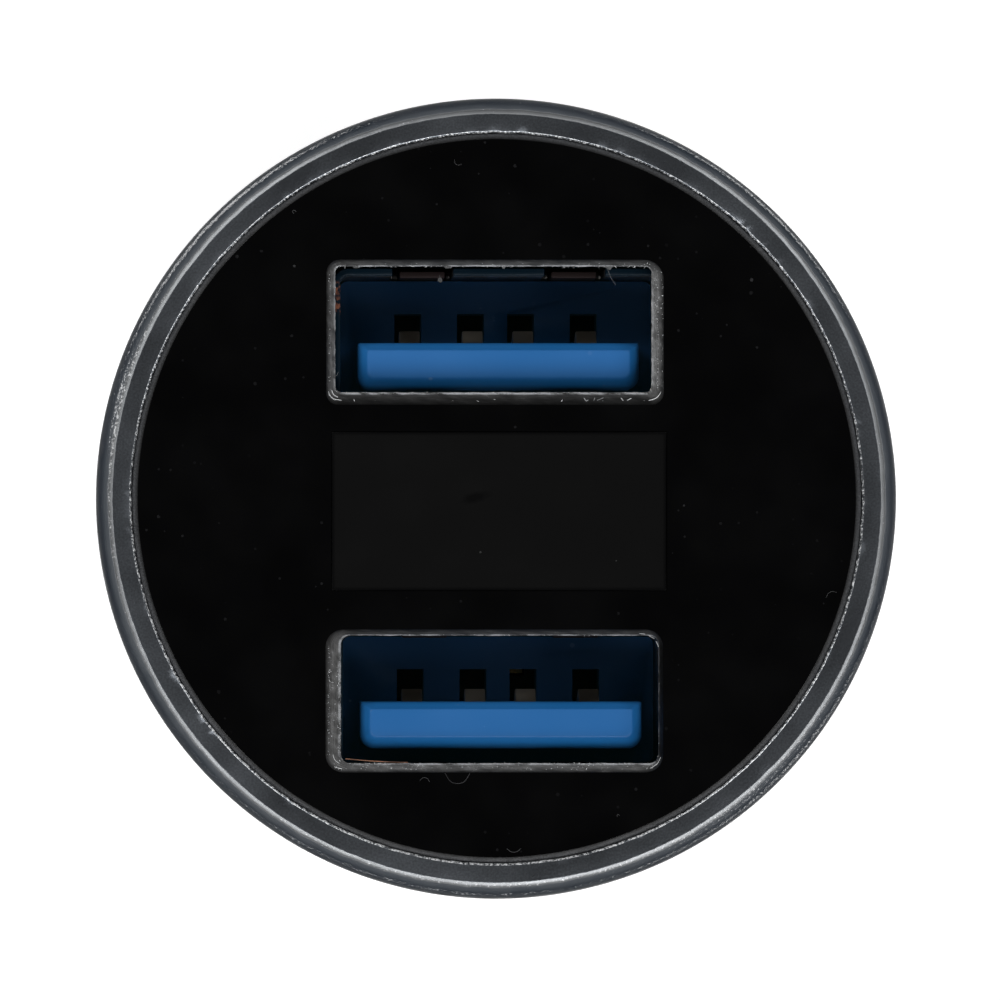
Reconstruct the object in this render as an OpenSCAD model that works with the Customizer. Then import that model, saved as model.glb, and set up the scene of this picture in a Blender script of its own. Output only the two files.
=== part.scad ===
// Usb car charger. +Z runs from the tip of the plug to the face with the ports,
// and the origin is where the plug meets the head.

/* [Head] */
// radius of the metal head at its widest
head_r = 15.73; // [14:0.01:18]
// height of the head, from shoulder to lip
head_h = 23; // [20:0.5:30]
// radius of the head at the shoulder
shoulder_r = 13.3; // [12.8:0.1:15]
// height over which the head flares to its full radius
flare_h = 11; // [8:0.5:13]
// radius of the inner wall of the head
wall_in_r = 14.42; // [13:0.01:16]
// inner radius of the flat lip
lip_in_r = 14.5; // [13:0.01:16]
// outer radius of the flat lip
lip_out_r = 15.14; // [14:0.01:17]
// outer radius of the small bevel round the lip
bevel_out_r = 15.29; // [14:0.01:17]
// height of the rounded flank under the lip
flank_h = 2.15; // [1:0.05:4]
// thickness of the floor of the head
floor_t = 1.2; // [0.8:0.1:2]

/* [Face] */
// radius of the black face plate
plate_r = 14.36; // [13:0.01:16]
// thickness of the face plate
plate_t = 1.2; // [0.8:0.1:2]
// depth of the face plate under the lip
plate_sink = 0.15; // [0:0.01:1]
// width of the chamfer round the face plate
plate_chamfer = 0.21; // [0:0.01:0.5]
// depth of the bevel round each port hole
hole_bevel = 0.42; // [0.1:0.01:1]
// width of the display window
window_w = 13.24; // [8:0.01:16]
// height of the display window
window_h = 6.3; // [3:0.01:8]
// centre of the display window
window_at = [0.09, -0.51]; // [-2:0.01:2]
// width of the step behind the edge of the window
window_step = 0.4; // [0.1:0.05:0.6]
// thickness of the adhesive sheet behind the face plate
adhesive_t = 0.15; // [0.05:0.01:0.4]

/* [Port holes] */
// centre of the upper hole at the face
upper_mouth_at = [-0.08, 6.51]; // [-8:0.01:8]
// width and height of the upper hole at the face
upper_mouth = [13.19, 5.59]; // [5:0.01:14]
// centre of the upper hole under its bevel
upper_throat_at = [-0.142, 6.63]; // [-8:0.01:8]
// width and height of the upper hole under its bevel
upper_throat = [12.42, 4.91]; // [4:0.01:13]
// centre of the lower hole at the face
lower_mouth_at = [-0.097, -7.994]; // [-8:0.01:8]
// width and height of the lower hole at the face
lower_mouth = [13.17, 5.53]; // [5:0.01:14]
// centre of the lower hole under its bevel
lower_throat_at = [0.118, -7.929]; // [-8:0.01:8]
// width and height of the lower hole under its bevel
lower_throat = [12.51, 5.02]; // [4:0.01:13]
// corner radii at the face, of the upper hole and the lower one
mouth_corners = [0.42, 0.66]; // [0.1:0.01:1]
// corner radii under the bevel, of the upper hole and the lower one
throat_corners = [0.22, 0.36]; // [0.1:0.01:1]

/* [Ports] */
// clear width inside a port's metal shell
port_w = 12.5; // [12.3:0.01:12.7]
// clear height inside a port's metal shell
port_h = 5.12; // [5:0.01:5.3]
// sheet thickness of the metal shell
sheet_t = 0.3; // [0.2:0.01:0.5]
// length of the metal shell
port_len = 14.2; // [12:0.1:16]
// depth from the front of the shell to the back wall
port_depth = 8.88; // [8:0.01:10]
// width of the tongue
tongue_w = 11.1; // [10.5:0.01:11.6]
// thickness of the tongue
tongue_t = 1.84; // [1.6:0.01:2]
// gap between the tongue and the shell below it
tongue_gap = 0.65; // [0.5:0.01:0.8]
// how far the tongue's end lies behind the front of the shell
tongue_back = 0.5; // [0.2:0.01:1]
// centre of the upper shell
upper_at = [0.1, 6.22]; // [-8:0.01:8]
// centre of the lower shell
lower_at = [0.2, -7.95]; // [-8:0.01:8]
// width of each contact blade
blade_w = 0.8; // [0.6:0.01:1]
// width of the slot that a contact blade comes out of
slot_w = 1.07; // [0.9:0.01:1.3]
// height of that slot above the tongue
slot_h = 1.28; // [1:0.01:1.6]

/* [Plug] */
// radius of the collar that the socket's rim grips
collar_r = 10.3; // [10.2:0.01:10.4]
// length of the collar
collar_h = 9; // [6:0.5:12]
// radius of the barrel below the collar
barrel_r = 9.9; // [9.6:0.01:10]
// radius of the barrel's bore
bore_r = 8.9; // [8:0.1:9.2]
// length of the barrel under the shoulder
barrel_h = 36.5; // [30:0.5:42]
// height of the tapered nose
nose_h = 5.5; // [4:0.1:8]
// radius at the end of the nose
nose_end_r = 7.4; // [6:0.1:9]

/* [Centre pin] */
// radius of the pin
pin_r = 3.15; // [2.5:0.05:4]
// how far the pin stands out of the nose
pin_out = 4.6; // [3:0.1:7]
// travel of the pin
pin_travel = 3; // [1:0.1:4]
// clearance round the pin
pin_play = 0.08; // [0.02:0.01:0.1]
// radius of the pin's stop collar
stop_r = 4.4; // [4:0.1:5]
// mean radius of the pin's spring
spring_r = 2.9; // [2.5:0.05:3.5]
// turns of the spring
spring_turns = 5.5; // [3:0.5:8]

/* [Side contacts] */
// distance of the crest of a side contact from the axis
crest_x = 11.1; // [10.6:0.05:11.6]
// width of a side contact
contact_w = 4; // [3:0.1:5]
// height of the middle of the side contacts
contact_z = -17.5; // [-22:0.5:-16]
// length of the bowed strip
contact_len = 13.4; // [10:0.1:16]
// thickness of the strip
contact_t = 0.45; // [0.3:0.01:0.6]

/* [Boards] */
// radius of the round port board
board_r = 12.9; // [11:0.1:13]
// thickness of both boards
board_t = 1.2; // [0.8:0.1:1.6]
// top of the round port board
board_top = 7.2; // [6:0.1:8]
// half width of the upright power board
board_half = 8.3; // [6:0.1:8.5]
// foot of the upright power board
board_foot = -27.3; // [-27.5:0.1:-20]

/* [Hidden] */
$fn = 96;
eps = 0.01;
plate_top = head_h - plate_sink;
plate_foot = plate_top - plate_t;
carrier_top = plate_foot - adhesive_t;
carrier_foot = carrier_top - 1.5;
port_front = carrier_top - 0.05;
board_low = board_top - board_t;
neck_r = collar_r - 0.4;
neck_hole_r = neck_r + 0.1;
flange_r = 12;
carrier_r = 14.3;
skirt_in_r = 13.3;
skirt_foot = 12.2;
display_half = [6.5, 3.1];
display_foot = 14.6;
display_pins = [for (x = [-3.81, -1.27, 1.27, 3.81], y = [-2.2, 2.2])
    [window_at[0] + x, window_at[1] + y]];
header_pins = [for (y = [-6.6, -4.8, 3.6, 5]) [0.95, y]];
finger_x = [-3, 3];
finger_w = 1.77;
finger_slit = [2.4, -9.3];
leg_y = 1.6;
leg_x = port_w / 2 + sheet_t / 2;
coil_z = -3.5;
coil_x = board_t / 2 + 0.05;
slot_half_len = contact_len / 2 + 0.25;
contact_foot_x = 8.42;
tongue_low = tongue_gap - port_h / 2;
tongue_high = tongue_low + tongue_t;
nose_end = -barrel_h - nose_h;
pin_tip = nose_end - pin_out;
stop_low = -38.2;
stop_high = stop_low + 1.8;
seat_low = -29.6;
seat_t = 0.6;
bulkhead_low = seat_low + seat_t + 0.05;
bulkhead_high = -27.9;
spring_low = stop_high + 0.05;
spring_high = seat_low - 0.05;
spring_wire_r = 0.25;
stub_r = 2.2;
stub_top = seat_low - pin_travel - 1.1;
blade_x = [-3.5, -1, 1, 3.5];
blade_t = 0.25;
clear = 0.1;
leg_len = 2.9;
power_top = port_front - port_len - leg_len - 0.1;

// Colours by material
metal_grey = [0.23, 0.25, 0.28];
gloss_black = [0.02, 0.02, 0.022];
window_black = [0.05, 0.05, 0.05];
matt_black = [0.06, 0.06, 0.065];
steel = [0.62, 0.62, 0.64];
nickel = [0.72, 0.7, 0.66];
blue = [0.11, 0.3, 0.55];
board_green = [0.05, 0.24, 0.13];
brass_gold = [0.75, 0.58, 0.28];
copper = [0.72, 0.4, 0.2];
ferrite = [0.16, 0.16, 0.17];
tan_cream = [0.76, 0.68, 0.52];
red = [0.6, 0.08, 0.06];

// Points of a curve from a to c that leaves and arrives along the lines through b
function curve(a, b, c, n) =
    [for (i = [0:n]) let(t = i / n) (1 - t) * (1 - t) * a + 2 * t * (1 - t) * b + t * t * c];

// Rectangle with rounded corners, centred
module roundedRect(w, h, r) {
    square([w, h - 2 * r], center = true);
    square([w - 2 * r, h], center = true);
    for (x = [-1, 1], y = [-1, 1])
        translate([x * (w / 2 - r), y * (h / 2 - r)]) circle(r, $fn = 32);
}

// Block from a low corner to a high corner
module block(low, high) {
    translate(low) cube(high - low);
}

// Drilled square pins, one at each place
module pins(places, low, high, side) {
    for (p = places) translate([p[0] - side / 2, p[1] - side / 2, low]) cube([side, side, high - low]);
}

// The metal sleeve round the whole head
module headShell() {
    outer = curve([shoulder_r, 0.4], [head_r, 7], [head_r, flare_h], 10);
    flank = curve([head_r, head_h - flank_h], [head_r - 0.06, head_h - 0.95],
                  [bevel_out_r, head_h - 0.15], 6);
    inner = curve([wall_in_r, flare_h + 0.4], [wall_in_r, 7.2], [shoulder_r - 1.15, floor_t], 10);
    groove_low = 17.4;
    groove_high = 19.1;
    groove_r = wall_in_r + 0.43;
    color(metal_grey) rotate_extrude() polygon(concat(
        [[neck_hole_r, 0], [shoulder_r - 0.4, 0]], outer, flank,
        [[lip_out_r, head_h], [lip_in_r, head_h], [wall_in_r, head_h - 0.08],
         [wall_in_r, groove_high], [groove_r, groove_high - 0.3], [groove_r, groove_low],
         [wall_in_r, groove_low]],
        inner, [[neck_hole_r, floor_t]]));
}

// One port hole: a bevel from the outer outline to the inner one, then straight through
module portHole(mouth_at, mouth, mouth_corner, throat_at, throat, throat_corner) {
    hull() {
        translate([mouth_at[0], mouth_at[1], plate_top]) linear_extrude(eps)
            roundedRect(mouth[0], mouth[1], mouth_corner);
        translate([throat_at[0], throat_at[1], plate_top - hole_bevel]) linear_extrude(eps)
            roundedRect(throat[0], throat[1], throat_corner);
    }
    translate([throat_at[0], throat_at[1], plate_foot - 0.1])
        linear_extrude(plate_t - hole_bevel + 0.1 + eps)
            roundedRect(throat[0], throat[1], throat_corner);
}

// The glossy black face with its two port holes and the stepped opening for the window
module facePlate() {
    color(gloss_black) difference() {
        rotate_extrude() polygon([[0, plate_foot], [plate_r, plate_foot],
            [plate_r, plate_top - plate_chamfer], [plate_r - plate_chamfer, plate_top],
            [0, plate_top]]);
        portHole(upper_mouth_at, upper_mouth, mouth_corners[0],
                 upper_throat_at, upper_throat, throat_corners[0]);
        portHole(lower_mouth_at, lower_mouth, mouth_corners[1],
                 lower_throat_at, lower_throat, throat_corners[1]);
        translate([window_at[0], window_at[1], 0]) {
            block([-window_w / 2, -window_h / 2, plate_foot - 0.1],
                  [window_w / 2, window_h / 2, plate_top + 0.1]);
            block([-window_w / 2 - window_step, -window_h / 2 - window_step, plate_foot - 0.1],
                  [window_w / 2 + window_step, window_h / 2 + window_step, plate_foot + 0.4]);
        }
    }
}

// The smoked window, flush with the face
module displayWindow() {
    seam = 0.03;
    color(window_black) translate([window_at[0], window_at[1], 0]) {
        block([-window_w / 2 + seam, -window_h / 2 + seam, plate_foot],
              [window_w / 2 - seam, window_h / 2 - seam, plate_top]);
        block([-window_w / 2 - window_step + 0.05, -window_h / 2 - window_step + 0.05, plate_foot],
              [window_w / 2 + window_step - 0.05, window_h / 2 + window_step - 0.05,
               plate_foot + 0.37]);
    }
}

// Openings for the two port shells and the display, cut out of a sheet between two heights
module faceOpenings(low, high, room) {
    for (at = [upper_at, lower_at])
        translate([at[0], at[1], low]) linear_extrude(high - low)
            roundedRect(port_w + 2 * (sheet_t + room), port_h + 2 * (sheet_t + room), 0.6);
    translate([window_at[0], window_at[1], 0])
        block([-display_half[0] - room, -display_half[1] - room, low],
              [display_half[0] + room, display_half[1] + room, high]);
}

// Adhesive sheet behind the face plate
module faceAdhesive() {
    color(matt_black) difference() {
        translate([0, 0, carrier_top]) cylinder(r = plate_r - 0.4, h = adhesive_t);
        faceOpenings(carrier_top - 0.1, plate_foot + 0.1, 0.35);
    }
}

// Plastic carrier: it holds the ports and the display, and snaps into the head
module faceCarrier() {
    color(matt_black) difference() {
        union() {
            translate([0, 0, carrier_foot]) cylinder(r = carrier_r, h = carrier_top - carrier_foot);
            difference() {
                translate([0, 0, skirt_foot])
                    cylinder(r = carrier_r, h = carrier_foot - skirt_foot + eps);
                translate([0, 0, skirt_foot - 1])
                    cylinder(r = skirt_in_r, h = carrier_foot - skirt_foot + 2);
            }
            for (a = [0, 180]) rotate(a) block([9.6, -4, board_top + 0.05], [12, 4, carrier_foot + eps]);
            for (a = [30, 150, 210, 330]) rotate(a) intersection() {
                rotate_extrude() polygon([[13.8, 17.6], [14.35, 17.6], [14.72, 17.9], [14.72, 18.4],
                                          [14.35, 18.9], [13.8, 18.9]]);
                block([12, -2, 17], [16, 2, 20]);
            }
        }
        faceOpenings(carrier_foot - 0.1, carrier_top + 0.1, clear);
    }
}

// Display block behind the window
module displayModule() {
    color(window_black) translate([window_at[0], window_at[1], 0])
        block([-display_half[0], -display_half[1], display_foot],
              [display_half[0], display_half[1], carrier_top - 0.05]);
}

// Legs from the display down through the port board
module displayPins() {
    color(nickel) pins(display_pins, board_low - 0.8, display_foot - 0.02, 0.5);
}

// Profile of a spring finger of the shell, y outward and z forward, seated in the sheet at y 0
module fingerProfile() {
    polygon([[0, -10], [0, -9.3], [-0.1, -4.2], [-0.1, -3.4], [-0.02, -2.3],
             [0.22, -2.4], [0.14, -3.4], [0.14, -4.2], [0.3, -9.3], [0.3, -10]]);
}

// Metal shell of one port, its front at z 0, with two spring fingers above and two below in open slits
module usbShell() {
    color(steel) {
        difference() {
            translate([0, 0, -port_len]) linear_extrude(port_len)
                roundedRect(port_w + 2 * sheet_t, port_h + 2 * sheet_t, 0.6);
            translate([0, 0, -port_len - 1]) linear_extrude(port_len + 2)
                roundedRect(port_w, port_h, 0.3);
            for (x = finger_x)
                block([x - finger_slit[0] / 2, -port_h / 2 - 1, finger_slit[1]],
                      [x + finger_slit[0] / 2, port_h / 2 + 1, 1]);
        }
        for (x = finger_x, side = [0, 1]) mirror([0, side, 0])
            translate([x - finger_w / 2, port_h / 2, 0]) rotate([90, 0, 90])
                linear_extrude(finger_w) fingerProfile();
        for (x = [-1, 1], y = [-1, 1])
            block([x * leg_x - sheet_t / 2, y * leg_y - 0.5, -port_len - leg_len],
                  [x * leg_x + sheet_t / 2, y * leg_y + 0.5, -port_len + eps]);
    }
}

// Moulded insert of one port: the block at the back, and the tongue with its bevelled end
module usbInsert() {
    front = -tongue_back;
    top_bevel = 0.3;
    low_bevel = 0.45;
    end_bevel = 0.38;
    half = tongue_w / 2;
    back_end = -port_len + 0.6;
    color(blue) difference() {
        union() {
            translate([0, 0, back_end]) linear_extrude(-port_depth - back_end)
                roundedRect(port_w - 0.1, port_h - 0.1, 0.3);
            intersection() {
                translate([-half, 0, 0]) rotate([90, 0, 90]) linear_extrude(tongue_w)
                    polygon([[tongue_low, -port_depth - 1], [tongue_high, -port_depth - 1],
                             [tongue_high, front - 0.55], [tongue_high - top_bevel, front],
                             [tongue_low + low_bevel, front], [tongue_low, front - 0.6]]);
                rotate([90, 0, 0]) linear_extrude(port_h, center = true)
                    polygon([[-half, -port_depth - 1], [half, -port_depth - 1], [half, front - 0.5],
                             [half - end_bevel, front], [-half + end_bevel, front],
                             [-half, front - 0.5]]);
                translate([0, 0, -port_depth - 1]) linear_extrude(port_depth + 1)
                    polygon([[-half, tongue_high], [half, tongue_high], [half, tongue_low + 0.45],
                             [half - 0.45, tongue_low], [-half + 0.45, tongue_low],
                             [-half, tongue_low + 0.45]]);
            }
        }
        for (x = blade_x) {
            block([x - slot_w / 2, tongue_high - 0.32, back_end - 1],
                  [x + slot_w / 2, tongue_high + slot_h, -port_depth + 0.01]);
            block([x - blade_w / 2 - 0.06, tongue_high - 0.32, -port_depth - 0.1],
                  [x + blade_w / 2 + 0.06, tongue_high + 0.1, front - 0.9]);
        }
    }
}

// Profile of a contact blade, y up and z forward
module bladeProfile() {
    y = tongue_high;
    t = blade_t;
    polygon([[y - 0.29, -port_len - leg_len], [y - 0.29, -7.6], [y + 0.25, -4.4], [y + 0.25, -3.4],
             [y - 0.29, -2], [y - 0.29, -1.6], [y - 0.04, -1.6], [y + t - 0.29, -2 + 0.1],
             [y + 0.25 + t, -3.35], [y + 0.25 + t, -4.45], [y + t - 0.29, -7.7],
             [y + t - 0.29, -port_len - leg_len]]);
}

// The four contact blades of one port
module usbContacts() {
    color(nickel) for (x = blade_x) translate([x - blade_w / 2, 0, 0]) rotate([90, 0, 90])
        linear_extrude(blade_w) bladeProfile();
}

// Place for what belongs to one port
module inPort(at) {
    translate([at[0], at[1], port_front]) children();
}

// Round board that the ports are soldered to
module portBoard() {
    color(board_green) difference() {
        translate([0, 0, board_low]) cylinder(r = board_r, h = board_t);
        for (at = [upper_at, lower_at]) {
            for (x = [-1, 1], y = [-1, 1])
                block([at[0] + x * leg_x - 0.3, at[1] + y * leg_y - 0.7, board_low - 1],
                      [at[0] + x * leg_x + 0.3, at[1] + y * leg_y + 0.7, board_top + 1]);
            for (x = blade_x)
                block([at[0] + x - 0.5, at[1] + tongue_high - 0.45, board_low - 1],
                      [at[0] + x + 0.5, at[1] + tongue_high + 0.12, board_top + 1]);
        }
        pins(display_pins, board_low - 1, board_top + 1, 0.7);
        pins(header_pins, board_low - 1, board_top + 1, 0.8);
    }
}

// Small chip on the port board that talks to the devices
module portChip() {
    color(matt_black) block([-5.9, -1.9, board_low - 1.35], [-3.3, 0.9, board_low - 0.15]);
    color(nickel) for (y = [-1.5, -0.5, 0.5], x = [-6.4, -3.32])
        block([x, y - 0.15, board_low - 0.4], [x + 0.52, y + 0.15, board_low - 0.05]);
}

// Upright board with the converter
module powerBoard() {
    color(board_green) block([-board_t / 2, -board_half, board_foot], [board_t / 2, board_half, power_top]);
}

// Header pins that join the two boards
module boardPins() {
    color(brass_gold) pins(header_pins, 1.2, board_top, 0.6);
}

// Ferrite drum of the inductor
module inductorCore() {
    color(ferrite) translate([coil_x, 0, coil_z]) rotate([0, 90, 0]) {
        cylinder(r = 4.3, h = 0.9);
        cylinder(r = 1.9, h = 5);
        translate([0, 0, 4.1]) cylinder(r = 4.3, h = 0.9);
    }
}

// Copper coil on the drum
module inductorWinding() {
    color(copper) translate([coil_x + 0.95, 0, coil_z]) rotate([0, 90, 0]) difference() {
        cylinder(r = 3.7, h = 3.1);
        translate([0, 0, -1]) cylinder(r = 1.95, h = 6);
    }
}

// Can capacitor standing along the board
module canCapacitor(r, h) {
    color(ferrite) cylinder(r = r, h = h);
    color(steel) translate([0, 0, h]) cylinder(r = r - 0.3, h = 0.15);
    color(nickel) for (y = [-1, 1]) translate([0, y, -1.3]) cylinder(r = 0.25, h = 1.3 + eps, $fn = 24);
}

module inputCapacitor() {
    translate([3.75, -3.6, -25]) canCapacitor(3, 8.2);
}

module outputCapacitor() {
    translate([3.3, 4.2, -14.8]) canCapacitor(2.5, 6);
}

// Chip in its package, on the face of the board that looks along -X
module converterChip() {
    x = -board_t / 2;
    color(matt_black) block([x - 1.6, -2.5, -9.9], [x - 0.15, 2.5, -6]);
    color(nickel) for (y = [-1.9, -0.63, 0.63, 1.9], z = [-10.9, -6.02])
        block([x - 0.5, y - 0.2, z], [x - 0.05, y + 0.2, z + 1.02]);
}

// Diode in a block package
module rectifierDiode() {
    x = -board_t / 2;
    color(matt_black) block([x - 2.3, -1.3, -16.6], [x - 0.1, 1.3, -12.4]);
    color(nickel) for (z = [-17.3, -12.42]) block([x - 0.35, -0.7, z], [x - 0.05, 0.7, z + 0.72]);
}

// Small ceramic capacitors
module chipCapacitors() {
    x = -board_t / 2;
    color(tan_cream) for (p = [[-5.4, -6.5], [-5.4, -9.5], [5.2, -7], [5.2, -14.5], [-5, -20]])
        block([x - 0.95, p[0] - 0.6, p[1] - 1], [x - 0.05, p[0] + 0.6, p[1] + 1]);
}

// Small resistors
module chipResistors() {
    x = -board_t / 2;
    color(matt_black) for (p = [[-5.4, -12.8], [5.2, -10.6], [3.6, -18.4], [-2.6, -1.5], [2.8, 1.2]])
        block([x - 0.55, p[0] - 0.5, p[1] - 0.8], [x - 0.05, p[0] + 0.5, p[1] + 0.8]);
}

// Fuse soldered to the board
module boardFuse() {
    x = -board_t / 2;
    color(tan_cream) block([x - 2.2, -1.2, -24.4], [x - 0.1, 1.2, -20]);
    color(nickel) for (z = [-25.4, -20.02]) block([x - 2.3, -1.25, z], [x - 0.05, 1.25, z + 1.02]);
}

// Plastic plug: collar, barrel with the slots of the side contacts, and the two rests of the port board
module plugBarrel() {
    flange_top = 2.4;
    rest_r = 10.9;
    color(matt_black) difference() {
        union() {
            rotate_extrude() polygon([
                [bore_r, -barrel_h], [barrel_r - 0.25, -barrel_h], [barrel_r, -barrel_h + 0.25],
                [barrel_r, -collar_h], [collar_r, -collar_h], [collar_r, 0], [neck_r, 0],
                [neck_r, floor_t + 0.05], [flange_r, floor_t + 0.05], [flange_r, flange_top],
                [bore_r, flange_top]]);
            intersection() {
                rotate_extrude() polygon([[bore_r, flange_top - 0.1], [rest_r, flange_top - 0.1],
                                          [rest_r, board_low - 0.05], [bore_r, board_low - 0.05]]);
                cube([4 * rest_r, 10.6, 4 * rest_r], center = true);
            }
            translate([0, 0, bulkhead_low]) difference() {
                cylinder(r = bore_r + 0.2, h = bulkhead_high - bulkhead_low);
                translate([0, 0, -1]) cylinder(r = 3.4, h = 4);
            }
            for (x = [-1, 1], y = [-1, 1]) intersection() {
                block([x * 1.2 - 0.5, y * 8.2 - 0.8, bulkhead_high - 0.1],
                      [x * 1.2 + 0.5, y * 8.2 + 0.8, -4]);
                translate([0, 0, -30]) cylinder(r = bore_r + 0.2, h = 60);
            }
        }
        for (side = [-1, 1])
            block([side * 9.5 - 1.6, -contact_w / 2 - 0.15, contact_z - slot_half_len],
                  [side * 9.5 + 1.6, contact_w / 2 + 0.15, contact_z + slot_half_len]);
    }
}

// One side contact, bowed out of its slot, with a foot behind the wall at each end
module sideContact() {
    half = contact_len / 2;
    foot = contact_foot_x;
    bow = curve([foot, -half], [2 * crest_x - foot, 0], [foot, half], 20);
    inside = curve([foot - contact_t, -half + 0.25], [2 * (crest_x - contact_t) - foot + contact_t, 0],
                   [foot - contact_t, half - 0.25], 20);
    color(steel) translate([0, contact_w / 2, contact_z]) rotate([90, 0, 0]) linear_extrude(contact_w)
        polygon(concat(
            bow, [[foot, half + 1.3], [foot - contact_t, half + 1.3]],
            [for (i = [20:-1:0]) inside[i]],
            [[foot - contact_t, -half - 1.3], [foot, -half - 1.3]]));
}

// Nose of the plug, pushed into the barrel, with the guide for the pin and its spring
module noseCap() {
    guide_r = stop_r + 0.15;
    color(matt_black) rotate_extrude() polygon([
        [pin_r + pin_play, nose_end], [nose_end_r - 0.3, nose_end], [nose_end_r, nose_end + 0.3],
        [barrel_r - 0.7, -barrel_h - 1.2], [barrel_r - 0.25, -barrel_h - 0.05],
        [bore_r - 0.05, -barrel_h - 0.05], [bore_r - 0.05, -32], [bore_r - 1.2, -32],
        [bore_r - 1.2, -35.5], [guide_r + 1.1, -35.5], [guide_r + 1.1, seat_low - 0.02],
        [guide_r, seat_low - 0.02], [guide_r, stop_low - 0.05], [pin_r + pin_play, stop_low - 0.05]]);
}

// Sprung pin at the tip, with its stop collar and the stub inside the spring
module centrePin() {
    tip = curve([0, pin_tip], [pin_r - 0.7, pin_tip], [pin_r, pin_tip + 2.2], 8);
    color(nickel) rotate_extrude() polygon(concat(tip,
        [[pin_r, stop_low], [stop_r, stop_low], [stop_r, stop_high], [stub_r, stop_high],
         [stub_r, stub_top - 0.3], [stub_r - 0.3, stub_top], [0, stub_top]]));
}

// Coil spring behind the pin, swept round the axis
module pinSpring() {
    sides = 6;
    per_turn = 14;
    steps = spring_turns * per_turn;
    rise = spring_high - spring_low - 2 * spring_wire_r;
    points = [for (i = [0:steps], k = [0:sides - 1])
        let(turn = 360 * i / per_turn, a = 360 * k / sides,
            r = spring_r + spring_wire_r * cos(a),
            z = spring_low + spring_wire_r + rise * i / steps + spring_wire_r * sin(a))
        [r * cos(turn), r * sin(turn), z]];
    walls = [for (i = [0:steps - 1], k = [0:sides - 1])
        let(n = (k + 1) % sides, a = i * sides)
        [a + k, a + sides + k, a + sides + n, a + n]];
    caps = [[for (k = [0:sides - 1]) k], [for (k = [sides - 1:-1:0]) steps * sides + k]];
    color(steel) polyhedron(points, concat(walls, caps));
}

// Brass disc that the spring pushes against
module springSeat() {
    color(brass_gold) translate([0, 0, seat_low]) cylinder(r = stop_r + 1.2, h = seat_t);
}

// Straight round wire between two points
module wire(from, to, r) {
    d = to - from;
    l = norm(d);
    translate(from) rotate([0, acos(d[2] / l), atan2(d[1], d[0])]) cylinder(r = r, h = l, $fn = 24);
}

// Wire from the brass disc to the board
module positiveWire() {
    color(red) wire([1.4, 0, seat_low + seat_t + 0.2], [1.3, 1.4, -23.6], 0.5);
}

// Wires from the board to the two side contacts
module groundWires() {
    foot_z = contact_z - contact_len / 2 - 0.7;
    color(matt_black) for (side = [-1, 1])
        wire([side * 1.3, side * 6.9, foot_z], [side * 7.6, side * (contact_w / 2 + 0.75), foot_z], 0.45);
}

headShell();  // head_shell
facePlate();  // face_plate
displayWindow();  // display_window
faceAdhesive();  // face_adhesive
faceCarrier();  // face_carrier
displayModule();  // display_module
displayPins();  // display_pins
portBoard();  // port_board
portChip();  // port_chip
inPort(upper_at) usbShell();  // usb_shell_upper
inPort(lower_at) usbShell();  // usb_shell_lower
inPort(upper_at) usbInsert();  // usb_insert_upper
inPort(lower_at) usbInsert();  // usb_insert_lower
inPort(upper_at) usbContacts();  // usb_contacts_upper
inPort(lower_at) usbContacts();  // usb_contacts_lower
powerBoard();  // power_board
boardPins();  // board_pins
inductorCore();  // inductor_core
inductorWinding();  // inductor_winding
inputCapacitor();  // input_capacitor
outputCapacitor();  // output_capacitor
converterChip();  // converter_chip
rectifierDiode();  // rectifier_diode
chipCapacitors();  // chip_capacitors
chipResistors();  // chip_resistors
boardFuse();  // board_fuse
plugBarrel();  // plug_barrel
mirror([1, 0, 0]) sideContact();  // side_contact_left
sideContact();  // side_contact_right
noseCap();  // nose_cap
centrePin();  // centre_pin
pinSpring();  // pin_spring
springSeat();  // spring_seat
positiveWire();  // positive_wire
groundWires();  // ground_wires
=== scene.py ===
# Looks of a usb car charger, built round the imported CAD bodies. Units in the settings are millimetres.
import math
import random

import bmesh
import bpy
from mathutils import Matrix, Vector, noise
from mathutils.geometry import delaunay_2d_cdt


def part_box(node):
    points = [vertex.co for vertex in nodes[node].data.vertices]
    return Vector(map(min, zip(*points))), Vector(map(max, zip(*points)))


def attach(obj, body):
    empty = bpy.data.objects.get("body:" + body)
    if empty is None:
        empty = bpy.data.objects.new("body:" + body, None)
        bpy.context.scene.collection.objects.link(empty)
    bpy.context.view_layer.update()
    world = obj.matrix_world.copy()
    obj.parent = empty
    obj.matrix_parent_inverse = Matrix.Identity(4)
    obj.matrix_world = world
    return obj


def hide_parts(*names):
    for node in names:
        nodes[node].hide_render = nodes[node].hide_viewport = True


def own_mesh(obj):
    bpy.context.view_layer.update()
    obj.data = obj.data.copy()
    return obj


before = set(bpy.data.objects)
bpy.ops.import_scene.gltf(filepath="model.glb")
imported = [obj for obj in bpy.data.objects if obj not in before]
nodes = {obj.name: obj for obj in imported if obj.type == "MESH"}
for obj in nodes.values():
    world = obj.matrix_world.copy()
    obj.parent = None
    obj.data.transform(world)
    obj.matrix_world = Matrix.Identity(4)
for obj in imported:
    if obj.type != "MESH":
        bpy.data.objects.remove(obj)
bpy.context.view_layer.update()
mm = 0.001
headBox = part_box("head_shell")
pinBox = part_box("centre_pin")
lipTop = headBox[1].z / mm
pinTip = pinBox[0].z / mm
random.seed(7)
print("frame loaded:", len(nodes), "nodes")

# Floor, camera and lights
stage = {
    "floorSize": 6000,
    "floorGap": 0.05,
    "floorColor": (0.93, 0.93, 0.93),
    "floorGlow": 0.26,
    "cameraDistance": 785,
    "cameraSide": (-12.0, -6.0),
    "frameWidth": 39.37,
    "aim": (0.122, -0.071),
    "horizonGlow": 0.44,
    "zenithGlow": 0.025,
}
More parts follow.
